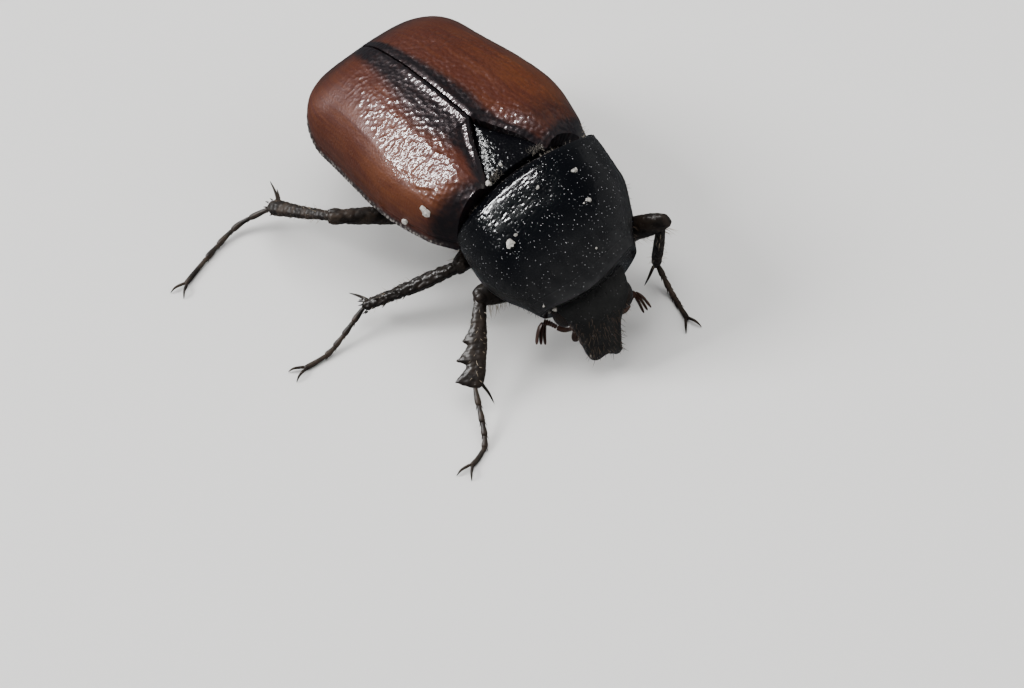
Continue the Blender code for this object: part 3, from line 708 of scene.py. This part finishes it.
def headPoint(across, t, top):
    lengthwise = 2 * t - 1
    across, lengthwise = roundCorners(across, lengthwise, 0.30 if lengthwise < 0 else 0.6)
    t = 0.5 * (lengthwise + 1)
    half = 0.5 * head["width"] * smoothAlong(head["half"], t)
    angle = across * math.radians(90)
    arch = max(0.0, math.cos(angle))
    swell = smoothAlong(head["swell"], t)
    y = head["back"] - head["length"] * (1 - t) + head["notch"] * hump(across, 0.30) * (1 - t) ** 4
    if top:
        z = 0.12 + head["height"] * swell * arch**0.8
        z += 0.10 * hump(t, 0.05) * arch**0.3
        z -= 0.05 * hump(t - 0.40, 0.06) * arch  # groove between clypeus and brow
        z -= 0.04 * hump(abs(across) - 0.45, 0.18) * hump(t - 0.30, 0.14)
    else:
        z = -0.12 - head["depth"] * swell * arch**0.6
        y -= 0.55 * t * arch
    return Vector((half * math.sin(angle), y, z))


def makeHead():
    bm = bmesh.new()
    satinLayer = bm.verts.layers.float.new("satin")

    def paint(vert, across, t, top):
        vert[satinLayer] = 0.6 * hump(across - 0.2, 0.8) if top else 0.0

    over = addPlate(bm, head["grid"], headPoint, paint)
    roughen(bm, over, *head["uneven"])
    roughenWith(bm, over, *head["pits"], reach=0.5)
    return finishPiece("headCapsule", bm, headPlace, finishes["head"], ["head"])


def makeEye(name, side, node):
    bm = bmesh.new()
    centre = Vector((side * head["eye"][0], head["eye"][1], head["eye"][2]))
    bmesh.ops.create_uvsphere(bm, u_segments=48, v_segments=32, radius=1.0)
    for vert in bm.verts:
        vert.co = centre + Vector([c * r for c, r in zip(vert.co, head["eyeRadii"])])
    finishPiece(name, bm, headPlace, finishes["eye"], [node])


headPiece = makeHead()
makeEye("eyeLeft", 1, "eye_left")
makeEye("eyeRight", -1, "eye_right")

# Feelers: a stalk, small beads, then a club of three leaves; places are for the left side
feeler = {
    "stalk": [(0.70, -1.38, -0.12), (0.95, -1.40, -0.28), (1.12, -1.30, -0.42)],
    "beads": [(1.12, -1.30, -0.42), (1.30, -1.16, -0.58), (1.42, -1.12, -0.66)],
    "beadCount": 6,
    "club": [(1.42, -1.12, -0.66), (1.56, -1.40, -0.70), (1.68, -1.80, -0.70)],
    "leafSpread": 0.085,
    "leafWidth": 0.135,
}


def onSide(points, side):
    return [Vector((side * p[0], p[1], p[2])) for p in points]


def makeFeeler(name, side, node):
    bm = bmesh.new()
    stalk = onSide(feeler["stalk"], side)
    addRod(bm, stalk, [(0, 0.055), (0.5, 0.075), (1, 0.10)], (0, 0, 1), 12, 14)
    beads = onSide(feeler["beads"], side)
    count = feeler["beadCount"]
    for i in range(count):
        near, far = pointAlong(beads, i / count), pointAlong(beads, min((i + 1.15) / count, 1))
        addRod(bm, [near, far], [(0, 0.05), (0.7, 0.075 + 0.006 * i), (1, 0.06)], (0, 0, 1), 10, 8)
    club = onSide(feeler["club"], side)
    along = (club[-1] - club[0]).normalized()
    spread = along.cross(Vector((0, 0, 1))).normalized() * side
    for i in (-1, 0, 1):
        fan = [p + spread * i * feeler["leafSpread"] * (0.6 + 0.5 * k) for k, p in enumerate(club)]
        girth = [(0, 0.06), (0.35, feeler["leafWidth"]), (0.8, 0.92 * feeler["leafWidth"]), (1, 0.07)]
        addRod(bm, fan, girth, (0, 0, 1), 14, 16, flatness=0.34)
    finishPiece(name, bm, headPlace, finishes["feeler"], [node])


makeFeeler("feelerLeft", 1, "antenna_left")
makeFeeler("feelerRight", -1, "antenna_right")

# Mouth: jaws, lip and the two palps under the clypeus
mouth = {
    "palp": [(0.42, -1.42, -0.62), (0.55, -1.75, -0.86), (0.60, -2.12, -0.92)],
    "palpJoints": (0.0, 0.26, 0.58, 1.0),
    "jaw": [(0.42, -1.60, -0.42), (0.46, -2.00, -0.36), (0.20, -2.22, -0.34)],
    "lip": [(0.0, -1.10, -0.74), (0.0, -1.60, -0.72), (0.0, -2.02, -0.52)],
}


def makePalp(name, side, node):
    bm = bmesh.new()
    path = onSide(mouth["palp"], side)
    for near, far in zip(mouth["palpJoints"], mouth["palpJoints"][1:]):
        start, end = pointAlong(path, max(near - 0.02, 0)), pointAlong(path, far)
        addRod(bm, [start, end], [(0, 0.07), (0.6, 0.12), (1, 0.09)], (0, 0, 1), 12, 12)
    finishPiece(name, bm, headPlace, finishes["feeler"], [node])


def makeJaws():
    bm = bmesh.new()
    for side in (1, -1):
        addRod(bm, onSide(mouth["jaw"], side), [(0, 0.16), (0.5, 0.15), (1, 0.05)], (0, 0, 1), 14, 16, 0.8)
    addRod(bm, onSide(mouth["lip"], 1), [(0, 0.30), (0.5, 0.34), (1, 0.22)], (1, 0, 0), 18, 16, 0.42)
    finishPiece("jawsAndLip", bm, headPlace, finishes["feeler"])


makePalp("palpLeft", 1, "palp_left")
makePalp("palpRight", -1, "palp_right")
makeJaws()

# Underside of the wing-bearing body and the belly: t runs from the waist to the back
trunk = {
    "thorax": {
        "start": 0.42,
        "end": 3.42,
        "half": [(0.0, 2.05), (0.3, 2.35), (1.0, 2.52)],
        "top": [(0.0, 0.72), (0.4, 1.00), (1.0, 1.08)],
        "depth": [(0.0, 1.40), (0.4, 1.80), (1.0, 1.75)],
    },
    "belly": {
        "start": 3.40,
        "end": 7.42,
        "half": [(0.0, 2.52), (0.5, 2.48), (1.0, 1.95)],
        "top": [(0.0, 1.08), (0.4, 0.92), (0.75, 0.55), (1.0, 0.20)],
        "depth": [(0.0, 1.72), (0.5, 1.62), (1.0, 1.12)],
    },
    "segments": 5,
    "step": 0.10,
}


def trunkPoint(t, angle, part):
    closing = (1 - abs(2 * t - 1) ** 6) ** (1 / 6) if 0 < t < 1 else 0.0
    up = math.cos(angle)
    power = 0.82 if up > 0 else 1.12
    x = smoothAlong(part["half"], t) * signedPower(math.sin(angle), power) * closing
    height = smoothAlong(part["top"] if up > 0 else part["depth"], t) * closing
    return Vector((x, part["start"] + (part["end"] - part["start"]) * t, height * signedPower(up, power)))


def thoraxPoint(t, angle):
    point = trunkPoint(t, angle, trunk["thorax"])
    if math.cos(angle) < 0:
        low = abs(math.cos(angle))
        point.z += 0.07 * hump(point.x, 0.05) * low  # groove along the middle
        point.z += 0.08 * hump(t - 0.28, 0.03) * low + 0.07 * hump(t - 0.80, 0.025) * low
    return point


def bellyPoint(t, angle):
    point = trunkPoint(t, angle, trunk["belly"])
    within = (t * trunk["segments"]) % 1.0
    if math.cos(angle) < 0:
        point.z += trunk["step"] * within**1.5 * abs(math.cos(angle)) ** 0.5
    point.x *= 1 - 0.02 * within**2
    return point


# The soft collar that joins the fore body to the rest
collar = {
    "start": -1.10,
    "length": 2.30,
    "half": 1.95,
    "height": 0.05,
    "top": 1.12,
    "depth": 1.15,
    "folds": 7,
}


def collarPoint(t, angle):
    closing = (1 - abs(2 * t - 1) ** 4) ** 0.25 if 0 < t < 1 else 0.0
    fold = 1 + 0.025 * math.cos(collar["folds"] * math.pi * t)
    x = collar["half"] * math.sin(angle) * closing * fold
    reach = collar["top"] if math.cos(angle) > 0 else collar["depth"]
    z = collar["height"] + reach * math.cos(angle) * closing * fold
    return Vector((x, collar["start"] + collar["length"] * t, z))


def makeTrunkPiece(name, sides, rings, shape, nodes=()):
    bm = bmesh.new()
    addSleeve(bm, sides, rings, shape)
    finishPiece(name, bm, bodyPlace, finishes["belly"], nodes, crease=70)


makeTrunkPiece("thoraxUnder", 96, 80, thoraxPoint, ["thorax"])
makeTrunkPiece("bellyRings", 96, 110, bellyPoint, ["abdomen"])
makeTrunkPiece("collarSkin", 64, 48, collarPoint)

tail = {
    "top": 0.10,
    "height": 1.70,
    "width": 3.90,
    "thickness": 0.38,
    "swell": 0.10,
    "grid": (48, 36),
    "uneven": (0.3, 0.012),
}


def tailPoint(across, t, top):
    drop = 2 * t - 1
    across, drop = roundCorners(across, drop, 0.75)
    t = 0.5 * (drop + 1)
    half = 0.5 * tail["width"] * (1 - 0.38 * t)
    y = trunk["belly"]["end"] + 0.08 + 0.40 * (1 - across**2) - 0.30 * t
    dome = (1 - across**2) * (1 - drop**2)
    y += tail["thickness"] - 0.10 + tail["swell"] * dome if top else 0.0
    return Vector((half * across, y, tail["top"] - tail["height"] * t - 0.12 * across**2))


def makeTail():
    bm = bmesh.new()
    over = addPlate(bm, tail["grid"], tailPoint)
    roughen(bm, over, *tail["uneven"])
    finishPiece("tailPlate", bm, bodyPlace, finishes["belly"], ["pygidium"])


makeTail()

# Legs, named as their nodes end: hip, knee and the foot's path from the shin's end to the claws, from
# the waist; the fore hips are places in the fore body. Wide is the side of the toothed or spiny edge.
legs = {
    "fore_right": {
        "hip": (-1.00, -1.88, -1.28),
        "knee": (-2.79, -1.06, -1.26),
        "foot": [(-4.60, -2.81, -2.40), (-5.47, -4.24, -3.03), (-6.30, -4.60, -3.05)],
        "wide": (-0.775, 0.614, 0.147),
    },
    "fore_left": {
        "hip": (0.72, -1.86, -1.36),
        "knee": (2.25, -3.75, 0.12),
        "foot": [(2.25, -2.95, -2.40), (2.10, -3.75, -3.03), (1.80, -4.85, -3.05)],
        "wide": (0.33, 0.33, 0.10),
    },
    "mid_right": {
        "hip": (-0.95, 1.35, -1.95),
        "knee": (-2.42, 0.34, -1.30),
        "foot": [(-5.03, 2.05, -2.40), (-6.17, 1.92, -2.86), (-6.80, 1.87, -3.03), (-7.58, 1.96, -3.05)],
        "wide": (0.2, -0.9, 0.4),
    },
    "mid_left": {
        "hip": (0.95, 1.35, -1.95),
        "knee": (2.30, 0.85, -1.40),
        "foot": [(3.25, 3.20, -2.40), (3.45, 4.15, -3.03), (3.75, 5.20, -3.05)],
        "wide": (-0.2, -0.9, 0.4),
    },
    "hind_right": {
        "hip": (-1.15, 2.85, -1.90),
        "knee": (-4.25, 4.10, -0.62),
        "foot": [(-4.64, 7.28, -2.40), (-5.58, 7.87, -2.84), (-6.63, 7.80, -3.03), (-8.20, 7.29, -3.05)],
        "wide": (-0.9, 0.0, 0.4),
    },
    "hind_left": {
        "hip": (1.15, 2.85, -1.90),
        "knee": (3.10, 4.35, -1.15),
        "foot": [(3.10, 6.90, -2.40), (3.15, 7.80, -3.03), (3.30, 9.00, -3.05)],
        "wide": (0.9, 0.0, 0.4),
    },
}
limb = {
    "ankleHeight": -2.40,  # of the foot paths above, before they are set on the floor
    "clawHeight": -3.05,
    "dust": {"fore": 0.35, "mid": 0.20, "hind": 0.75},
    "hipRadii": {"fore": (0.46, 0.50, 0.58), "mid": (0.52, 0.48, 0.48), "hind": (0.80, 0.42, 0.46)},
    "thigh": {"fore": 0.42, "mid": 0.38, "hind": 0.36},
    "thighGirth": [(0, 0.5), (0.14, 0.84), (0.42, 1.0), (0.72, 0.9), (0.92, 0.68), (1, 0.55)],
    "thighFlatness": 0.72,
    "shin": {"fore": 0.29, "mid": 0.22, "hind": 0.26},
    "shinGirth": {
        "fore": [(0, 0.45), (0.10, 0.60), (0.3, 0.76), (0.6, 0.95), (0.85, 0.95), (0.96, 0.78), (1, 0.6)],
        "mid": [(0, 0.60), (0.08, 0.80), (0.3, 0.98), (0.6, 0.86), (0.85, 0.70), (0.96, 0.74), (1, 0.68)],
        "hind": [(0, 0.44), (0.08, 0.52), (0.3, 0.66), (0.7, 0.84), (0.95, 1.0), (1, 0.94)],
    },
    "shinFlatness": {"fore": 0.55, "mid": 0.85, "hind": 0.85},
    "teeth": ((0.50, 0.17), (0.72, 0.30), (0.955, 0.38)),  # on the fore shins: place, length
    "spines": ((0.36, 0.24), (0.58, 0.30), (0.80, 0.26)),  # rows on the other shins: place, length
    "crown": 9,  # small spines round a shin's end
    "spur": 0.80,
    "footRadius": 0.105,
    "footDust": 0.75,
    "knots": (0.0, 0.22, 0.40, 0.56, 0.71, 1.0),
    "claw": 0.42,
    "bead": 0.13,  # how far apart the beads on thighs and shins are
    "beadHeight": {"fore": 0.026, "mid": 0.044, "hind": 0.036},
}


def legPoints(name):
    leg = legs[name]
    pair = name.split("_")[0]
    hip = Vector(leg["hip"])
    if pair == "fore":
        hip = foreInBody @ hip
    foot = []
    sole = stance["floor"] + limb["footRadius"]
    ankle, claw = limb["ankleHeight"], limb["clawHeight"]
    for left, back, up in leg["foot"]:
        share = (up - claw) / (ankle - claw)  # 1 at the shin's end, 0 on the floor
        foot.append(Vector((left, back, sole + share * (ankle - sole))))
    return pair, hip, Vector(leg["knee"]), foot, Vector(leg["wide"])


def scaled(girth, size):
    return [(t, g * size) for t, g in girth]


def finishLimb(word, node, name, bm, dust=None):
    if dust is not None:
        layer = bm.verts.layers.float.new("satin")
        for vert in bm.verts:
            vert[layer] = dust
    part = word + name.title().replace("_", "")
    finishPiece(part, bm, bodyPlace, finishes["leg"], [node + "_" + name])


def makeHip(name, pair):
    place = foreInBody if pair == "fore" else Matrix.Identity(4)
    centre = Vector(legs[name]["hip"])
    bm = bmesh.new()
    bmesh.ops.create_uvsphere(bm, u_segments=36, v_segments=24, radius=1.0)
    for vert in bm.verts:
        vert.co = place @ (centre + Vector([c * r for c, r in zip(vert.co, limb["hipRadii"][pair])]))
    finishLimb("hip", "coxa", name, bm)


def makeThigh(name, pair, hip, knee, ankle):
    hip = hip + Vector((0, 0, -0.12))
    forward = (knee - hip).normalized()
    facing = (ankle - knee).normalized()
    ring = hip + forward * 0.42
    bm = bmesh.new()
    joint = [hip + forward * 0.20, ring + forward * 0.28]
    addRod(bm, joint, [(0, 0.20), (0.6, 0.25), (1, 0.18)], facing, 18, 14)
    girth = scaled(limb["thighGirth"], limb["thigh"][pair])
    addRod(bm, [ring, knee + forward * 0.20], girth, facing, 48, 70, limb["thighFlatness"])
    for turn in (-1, 1):  # the two lobes that hold the shin's root
        cheek = forward.cross(facing) * turn * 0.13
        lobe = [knee - forward * 0.30 + cheek, knee + forward * 0.16 + cheek + facing * 0.10]
        addRod(bm, lobe, [(0, 0.10), (0.6, 0.15), (1, 0.08)], facing, 14, 12, 0.7)
    roughenWith(bm, bm.verts, limb["bead"], limb["beadHeight"][pair], reach=0.8)
    finishLimb("thigh", "femur", name, bm, limb["dust"][pair])


def toothedEdge(t):
    reach = 0.0
    for place, length in limb["teeth"]:
        if t <= place:
            reach = max(reach, length * max(0.0, 1 - (place - t) / 0.17) ** 1.4)
        else:
            reach = max(reach, length * max(0.0, 1 - (t - place) / 0.035))
    return reach


def addShinSpines(bm, knee, ankle, shin, broad, cross, size):
    for t, reach in limb["spines"]:
        for turn in (-0.6, 0.1, 0.8):
            heading = broad * math.cos(turn) + cross * math.sin(turn)
            base = knee.lerp(ankle, t + 0.03 * turn) + heading * 0.7 * size * (0.6 + 0.4 * t)
            addSpine(bm, base, heading * 0.7 + shin, reach, 0.040)
    for i in range(limb["crown"]):
        turn = math.tau * (i + 0.3) / limb["crown"]
        heading = broad * math.cos(turn) + cross * math.sin(turn)
        addSpine(bm, ankle + heading * 0.85 * size - shin * 0.02, shin + heading * 0.35, 0.16, 0.030)


def makeShin(name, pair, knee, foot, wide):
    ankle = foot[0]
    shin = (ankle - knee).normalized()
    broad = (wide - wide.dot(shin) * shin).normalized()
    cross = shin.cross(broad)
    if pair == "fore" and cross.dot((foot[1] - ankle).normalized()) > 0:
        cross = -cross
    size = limb["shin"][pair]
    girth = scaled(limb["shinGirth"][pair], size)
    flatness = limb["shinFlatness"][pair]
    root = knee + shin * 0.02
    bm = bmesh.new()
    if pair == "fore":
        path = [root, ankle + shin * 0.05]
        made = addRod(bm, path, girth, broad, 44, 150, flatness, 0.03, toothedEdge)
    else:
        path = [root, knee.lerp(ankle, 0.5) + broad * 0.05, ankle + shin * 0.04]
        made = addRod(bm, path, girth, broad, 40, 130, flatness, 0.05)
        addShinSpines(bm, knee, ankle, shin, broad, cross, size)
    roughenWith(bm, made, limb["bead"], limb["beadHeight"][pair], reach=0.8)
    inner = ankle - shin * 0.16 - broad * 0.5 * size
    spurs = ((1.0, 1.0),) if pair == "fore" else ((1.0, 1.0), (-1.0, 0.78))
    for spread, reach in spurs:
        heading = shin * 0.80 - broad * 0.62 + cross * 0.32 * spread
        if pair == "hind":  # these stand up from the shin's end
            heading = Vector((math.copysign(0.30 - 0.12 * spread, -ankle.x), 0.55, 0.70 - 0.15 * spread))
        addSpine(bm, inner + cross * 0.05 * spread, heading, limb["spur"] * reach, 0.060, broad * -0.05)
    finishLimb("shin", "tibia", name, bm, limb["dust"][pair])


def makeFoot(name, foot):
    up = Vector((0, 0, 1))
    radius = limb["footRadius"]
    knots = limb["knots"]
    bm = bmesh.new()
    for i, (near, far) in enumerate(zip(knots, knots[1:])):
        points = [pointAlong(foot, near + (far - near) * s) for s in (0.0, 0.5, 1.0)]
        if i:
            points[0] = points[0].lerp(points[1], -0.15)
        last = i == len(knots) - 2
        girth = [(0, 0.60), (0.2, 0.66), (0.8, 0.80 if last else 0.94), (1, 0.72)]
        addRod(bm, points, scaled(girth, radius), up, 16, 18)
        forward = (points[2] - points[0]).normalized()
        side = forward.cross(up).normalized()
        turns = () if last else (-1.1, -0.4, 0.4, 1.1)
        for turn in turns:
            heading = side * math.sin(turn) - up * math.cos(turn) * 0.6
            base = points[2] - forward * 0.05 + heading * 0.6 * radius
            addSpine(bm, base, forward + heading * 0.45, 0.15, 0.020)
    tip = foot[-1]
    heading = (foot[-1] - foot[-2]).normalized()
    side = heading.cross(up).normalized()
    for spread in (-1, 1):
        base = tip - heading * 0.08 + side * 0.03 * spread
        middle = tip + heading * 0.55 * limb["claw"] + side * 0.17 * spread + up * 0.05
        end = tip + heading * limb["claw"] + side * 0.26 * spread
        end.z = stance["floor"] + 0.03
        addRod(bm, [base, middle, end], [(0, 0.050), (0.5, 0.042), (1, 0.010)], up, 10, 16)
    for vert in bm.verts:
        vert.co.z = max(vert.co.z, stance["floor"])
    finishLimb("foot", "tarsus", name, bm, limb["footDust"])


for legName in legs:
    pair, hip, knee, foot, wide = legPoints(legName)
    makeHip(legName, pair)
    makeThigh(legName, pair, hip, knee, foot[0])
    makeShin(legName, pair, knee, foot, wide)
    makeFoot(legName, foot)

# Hair: every hair is a copy of one bent three-sided cone. Wild is how far hairs stray from their lie,
# lengths are the shortest and longest.
hair = {
    "seed": 7,
    "radius": 0.009,
    "bend": 0.18,
    "fringe": {"count": 60, "wild": 0.9, "lengths": (0.08, 0.22)},
    "fuzz": {"count": 180, "spread": 50, "wild": 0.8, "lengths": (0.06, 0.16)},
    "scutellum": {"count": 120, "wild": 0.6, "lengths": (0.12, 0.24)},
    "wing": {"count": 16, "wild": 0.4, "lengths": (0.15, 0.30)},
    "belly": {"count": 620, "wild": 0.35, "lengths": (0.22, 0.50)},
    "tail": {"count": 160, "wild": 0.3, "lengths": (0.15, 0.32)},
    "head": {"count": 150, "wild": 0.4, "lengths": (0.10, 0.24)},
    "thigh": {"count": 46, "wild": 0.3, "lengths": (0.22, 0.55)},
    "shin": {"count": 40, "wild": 0.2, "lengths": (0.16, 0.30)},
}
chance = random.Random(hair["seed"])


def makeHairShape():
    bm = bmesh.new()
    bmesh.ops.create_circle(bm, cap_ends=True, segments=3, radius=1.0)
    edges = list(bm.edges)
    for t, size in ((0.35, 0.8), (0.7, 0.5), (1.0, 0.08)):
        made = bmesh.ops.extrude_edge_only(bm, edges=edges)["geom"]
        edges = [g for g in made if isinstance(g, bmesh.types.BMEdge)]
        for vert in {v for e in edges for v in e.verts}:
            flat = Vector((vert.co.x, vert.co.y, 0)).normalized()
            vert.co = Vector((flat.x * size, flat.y * size, t))
    bmesh.ops.holes_fill(bm, edges=edges, sides=0)
    return takeMesh(bm, "one hair")


oneHair = makeHairShape()


def growHair(bm, root, lie, kind):
    heading = lie + Vector([chance.uniform(-kind["wild"], kind["wild"]) for _ in range(3)])
    length = chance.uniform(*kind["lengths"])
    start = len(bm.verts)
    bm.from_mesh(oneHair)
    bm.verts.ensure_lookup_table()
    heading = heading.normalized()
    side = heading.orthogonal().normalized()
    side.rotate(Matrix.Rotation(chance.uniform(0, math.tau), 3, heading))
    radius = hair["radius"]
    bend = hair["bend"] * length * chance.uniform(0.3, 1.2)
    drop = heading.cross(side)
    for vert in bm.verts[start:]:
        x, y, t = vert.co
        vert.co = root + heading * t * length + side * (x * radius + bend * t * t) + drop * y * radius


# Where one hair of each kind stands and how it lies

def fringeRoot(i):
    side = chance.choice((-1, 1))
    return shieldPoint(side * 0.995, chance.uniform(0.05, 0.95), False), Vector((side * 0.6, -0.6, -0.4))


def fuzzRoot(i):
    # along the shield's hind edge, thickest at the two corners of the scutellum
    across = chance.uniform(-0.96, 0.96)
    if i >= hair["fuzz"]["spread"]:
        across = chance.choice((-0.42, 0.30)) + chance.gauss(0, 0.06)
    root = shieldPoint(across, chance.uniform(0.955, 0.995), True)
    return root + Vector((0, 0, -0.03)), Vector((0, 0.6, 0.8))


def scutellumRoot(i):
    across = chance.choice((-1, 1)) * chance.uniform(0.55, 1.0)
    root = scutellumPoint(across, chance.uniform(0.0, 0.10), True)
    return root + Vector((0, -0.04, -0.05)), Vector((0, -0.1, 1))


def wingRoot(i):
    across = chance.uniform(0.5, 0.98)
    return wingCasePoint(1, across, chance.uniform(0.01, 0.06), True), Vector((0.6, -0.6, 0.8))


def bellyRoot(i):
    angle = math.pi + chance.uniform(-1.35, 1.35)
    shape = chance.choice((thoraxPoint, thoraxPoint, bellyPoint))
    return shape(chance.uniform(0.08, 0.92), angle), Vector((math.sin(angle), 0.5, math.cos(angle)))


def tailRoot(i):
    root = tailPoint(chance.uniform(-0.95, 0.95), chance.uniform(0.05, 0.98), True)
    return root, Vector((0, 0.8, -0.7))


def headRoot(i):
    across = chance.uniform(-0.95, 0.95)
    return headPoint(across, chance.uniform(0.0, 0.5), True), Vector((across * 0.8, -1.0, 0.5))


def makeHair(name, place, material, kind, rootOf):
    bm = bmesh.new()
    for i in range(hair[kind]["count"]):
        root, lie = rootOf(i)
        growHair(bm, root, lie, hair[kind])
    finishPiece(name, bm, place, finishes[material])


def makeLegHair():
    bm = bmesh.new()
    for name in legs:
        pair, hip, knee, foot, wide = legPoints(name)
        forward = (knee - hip).normalized()
        facing = (foot[0] - knee).normalized()
        facing = (facing - forward * facing.dot(forward)).normalized()
        for _ in range(hair["thigh"]["count"]):
            t = chance.uniform(0.25, 0.95)
            root = hip.lerp(knee, t) + Vector((0, 0, -0.10 * (1 - t))) + facing * 0.82 * limb["thigh"][pair]
            growHair(bm, root, facing + forward * 0.4, hair["thigh"])
        shin = (foot[0] - knee).normalized()
        broad = (wide - wide.dot(shin) * shin).normalized()
        for _ in range(hair["shin"]["count"]):
            t = chance.uniform(0.15, 0.97)
            turn = chance.uniform(0, math.tau)
            out = broad * math.cos(turn) + shin.cross(broad) * math.sin(turn)
            root = knee.lerp(foot[0], t) + out * 0.45 * limb["shin"][pair]
            growHair(bm, root, out + shin * 0.7, hair["shin"])
    finishPiece("legHair", bm, bodyPlace, finishes["paleHair"])


makeHair("shieldFringe", forePlace, "darkHair", "fringe", fringeRoot)
makeHair("shieldFuzz", forePlace, "greyHair", "fuzz", fuzzRoot)
makeHair("scutellumHair", bodyPlace, "greyHair", "scutellum", scutellumRoot)
makeHair("wingCaseHair", bodyPlace, "paleHair", "wing", wingRoot)
makeHair("bellyHair", bodyPlace, "paleHair", "belly", bellyRoot)
makeHair("tailHair", bodyPlace, "greyHair", "tail", tailRoot)
makeHair("headHair", headPlace, "darkHair", "head", headRoot)
makeLegHair()

# Pollen crumbs where the photograph shows them: picture x and y, then radius in millimetres
crumbs = {
    "seed": 3,
    "spots": [
        (511, 243, 0.165), (516, 235, 0.070), (575, 171, 0.085), (538, 188, 0.065), (588, 200, 0.075),
        (596, 248, 0.050), (556, 309, 0.105), (500, 165, 0.060), (489, 184, 0.085), (427, 212, 0.180),
        (406, 221, 0.105), (544, 306, 0.040), (549, 312, 0.055), (584, 203, 0.035), (497, 170, 0.045),
    ],
}


def pictureRay(x, y):
    turn = camera.matrix_world.to_3x3()
    wide, high = viewpoint["picture"]
    scale = viewpoint["sensor"] / (viewpoint["lens"] * wide)
    heading = turn @ Vector(((x - wide / 2) * scale, (high / 2 - y) * scale, -1))
    return camera.matrix_world.translation, heading.normalized()


def makeCrumbs(surfaces):
    trees = [BVHTree.FromObject(s, bpy.context.evaluated_depsgraph_get()) for s in surfaces]
    dice = random.Random(crumbs["seed"])
    bm = bmesh.new()
    for x, y, radius in crumbs["spots"]:
        origin, heading = pictureRay(x, y)
        hits = [h for h in (t.ray_cast(origin, heading) for t in trees) if h[0]]
        if not hits:
            continue
        spot, facing, _, _ = min(hits, key=lambda h: h[3])
        made = bmesh.ops.create_icosphere(bm, subdivisions=3, radius=1.0)["verts"]
        shift = Vector([dice.uniform(-9, 9) for _ in range(3)])
        stretch = Vector([dice.uniform(0.6, 1.5) for _ in range(3)])
        planes = [Vector([dice.uniform(-1, 1) for _ in range(3)]).normalized() for _ in range(11)]
        for vert in made:
            flat = min(0.55 / max(vert.co.dot(p), 0.1) for p in planes)  # cut to a chipped block
            lump = min(1.0, flat) + 0.28 * noise.noise(vert.co * 2.2 + shift)
            grain = Vector([c * s for c, s in zip(vert.co, stretch)])
            vert.co = (spot / millimetre) + facing * radius * 0.35 + grain * lump * radius
    place = Matrix.Scale(millimetre, 4)
    finishPiece("pollenCrumbs", bm, place, finishes["pollen"], crease=35)


makeCrumbs([shieldPiece, scutellumPiece, headPiece, *wingCases])

# Plain floor and soft studio light. Matt boxes only light the horn, shine ones only gleam in it.
studio = {
    "floorSize": 3.0,
    "floorColour": (0.80, 0.79, 0.77, 1),
    "floorRoughness": 0.8,
    "sky": (0.86, 0.92, 1.0, 1),
    "skyStrength": 0.08,
    "aim": (0, 0, 0.003),
    "slant": (0.51, -0.03, 0.47),  # long way of the soft boxes
    # name, direction from the beetle, distance and sides in metres, watts, use
    "lamps": (
        ("window", (-0.36, 0.59, 0.72), 0.20, (0.140, 0.014), 0.88, "shine"),
        ("key", (-0.58, 0.50, 0.57), 0.40, (0.20, 0.20), 1.8, "matt"),
        ("overhead", (0.15, 0.10, 1.0), 0.50, (0.50, 0.50), 3.2, "matt"),
        ("front", (0.55, -0.75, 0.60), 0.40, (0.30, 0.30), 0.7, "matt"),
        ("side", (0.85, -0.25, 0.45), 0.40, (0.50, 0.50), 0.18, "shine"),
    ),
}


def makeStudio():
    bm = bmesh.new()
    bmesh.ops.create_grid(bm, x_segments=1, y_segments=1, size=studio["floorSize"] / 2)
    floor = addObject("floor", takeMesh(bm, "floor"))
    material = bpy.data.materials.new("pale floor")
    material.use_nodes = True
    shader = material.node_tree.nodes["Principled BSDF"]
    setInputs(shader, {"Base Color": studio["floorColour"], "Roughness": studio["floorRoughness"]})
    floor.data.materials.append(material)
    floor.visible_glossy = False
    world = bpy.data.worlds.new("studio")
    world.use_nodes = True
    setInputs(world.node_tree.nodes["Background"], {0: studio["sky"], 1: studio["skyStrength"]})
    bpy.context.scene.world = world
    for name, direction, distance, sides, watts, use in studio["lamps"]:
        data = bpy.data.lights.new(name, "AREA")
        data.shape = "RECTANGLE"
        data.size, data.size_y = sides
        data.energy = watts
        lamp = addObject(name, data)
        outward = Vector(direction).normalized()
        lengthwise = Vector(studio["slant"])
        lengthwise = (lengthwise - outward * outward.dot(lengthwise)).normalized()
        facing = Matrix((lengthwise, outward.cross(lengthwise), outward)).transposed().to_4x4()
        lamp.matrix_world = Matrix.Translation(Vector(studio["aim"]) + outward * distance) @ facing
        lamp.visible_glossy = use == "shine"
        lamp.visible_diffuse = use == "matt"


makeStudio()
print("studio ready")
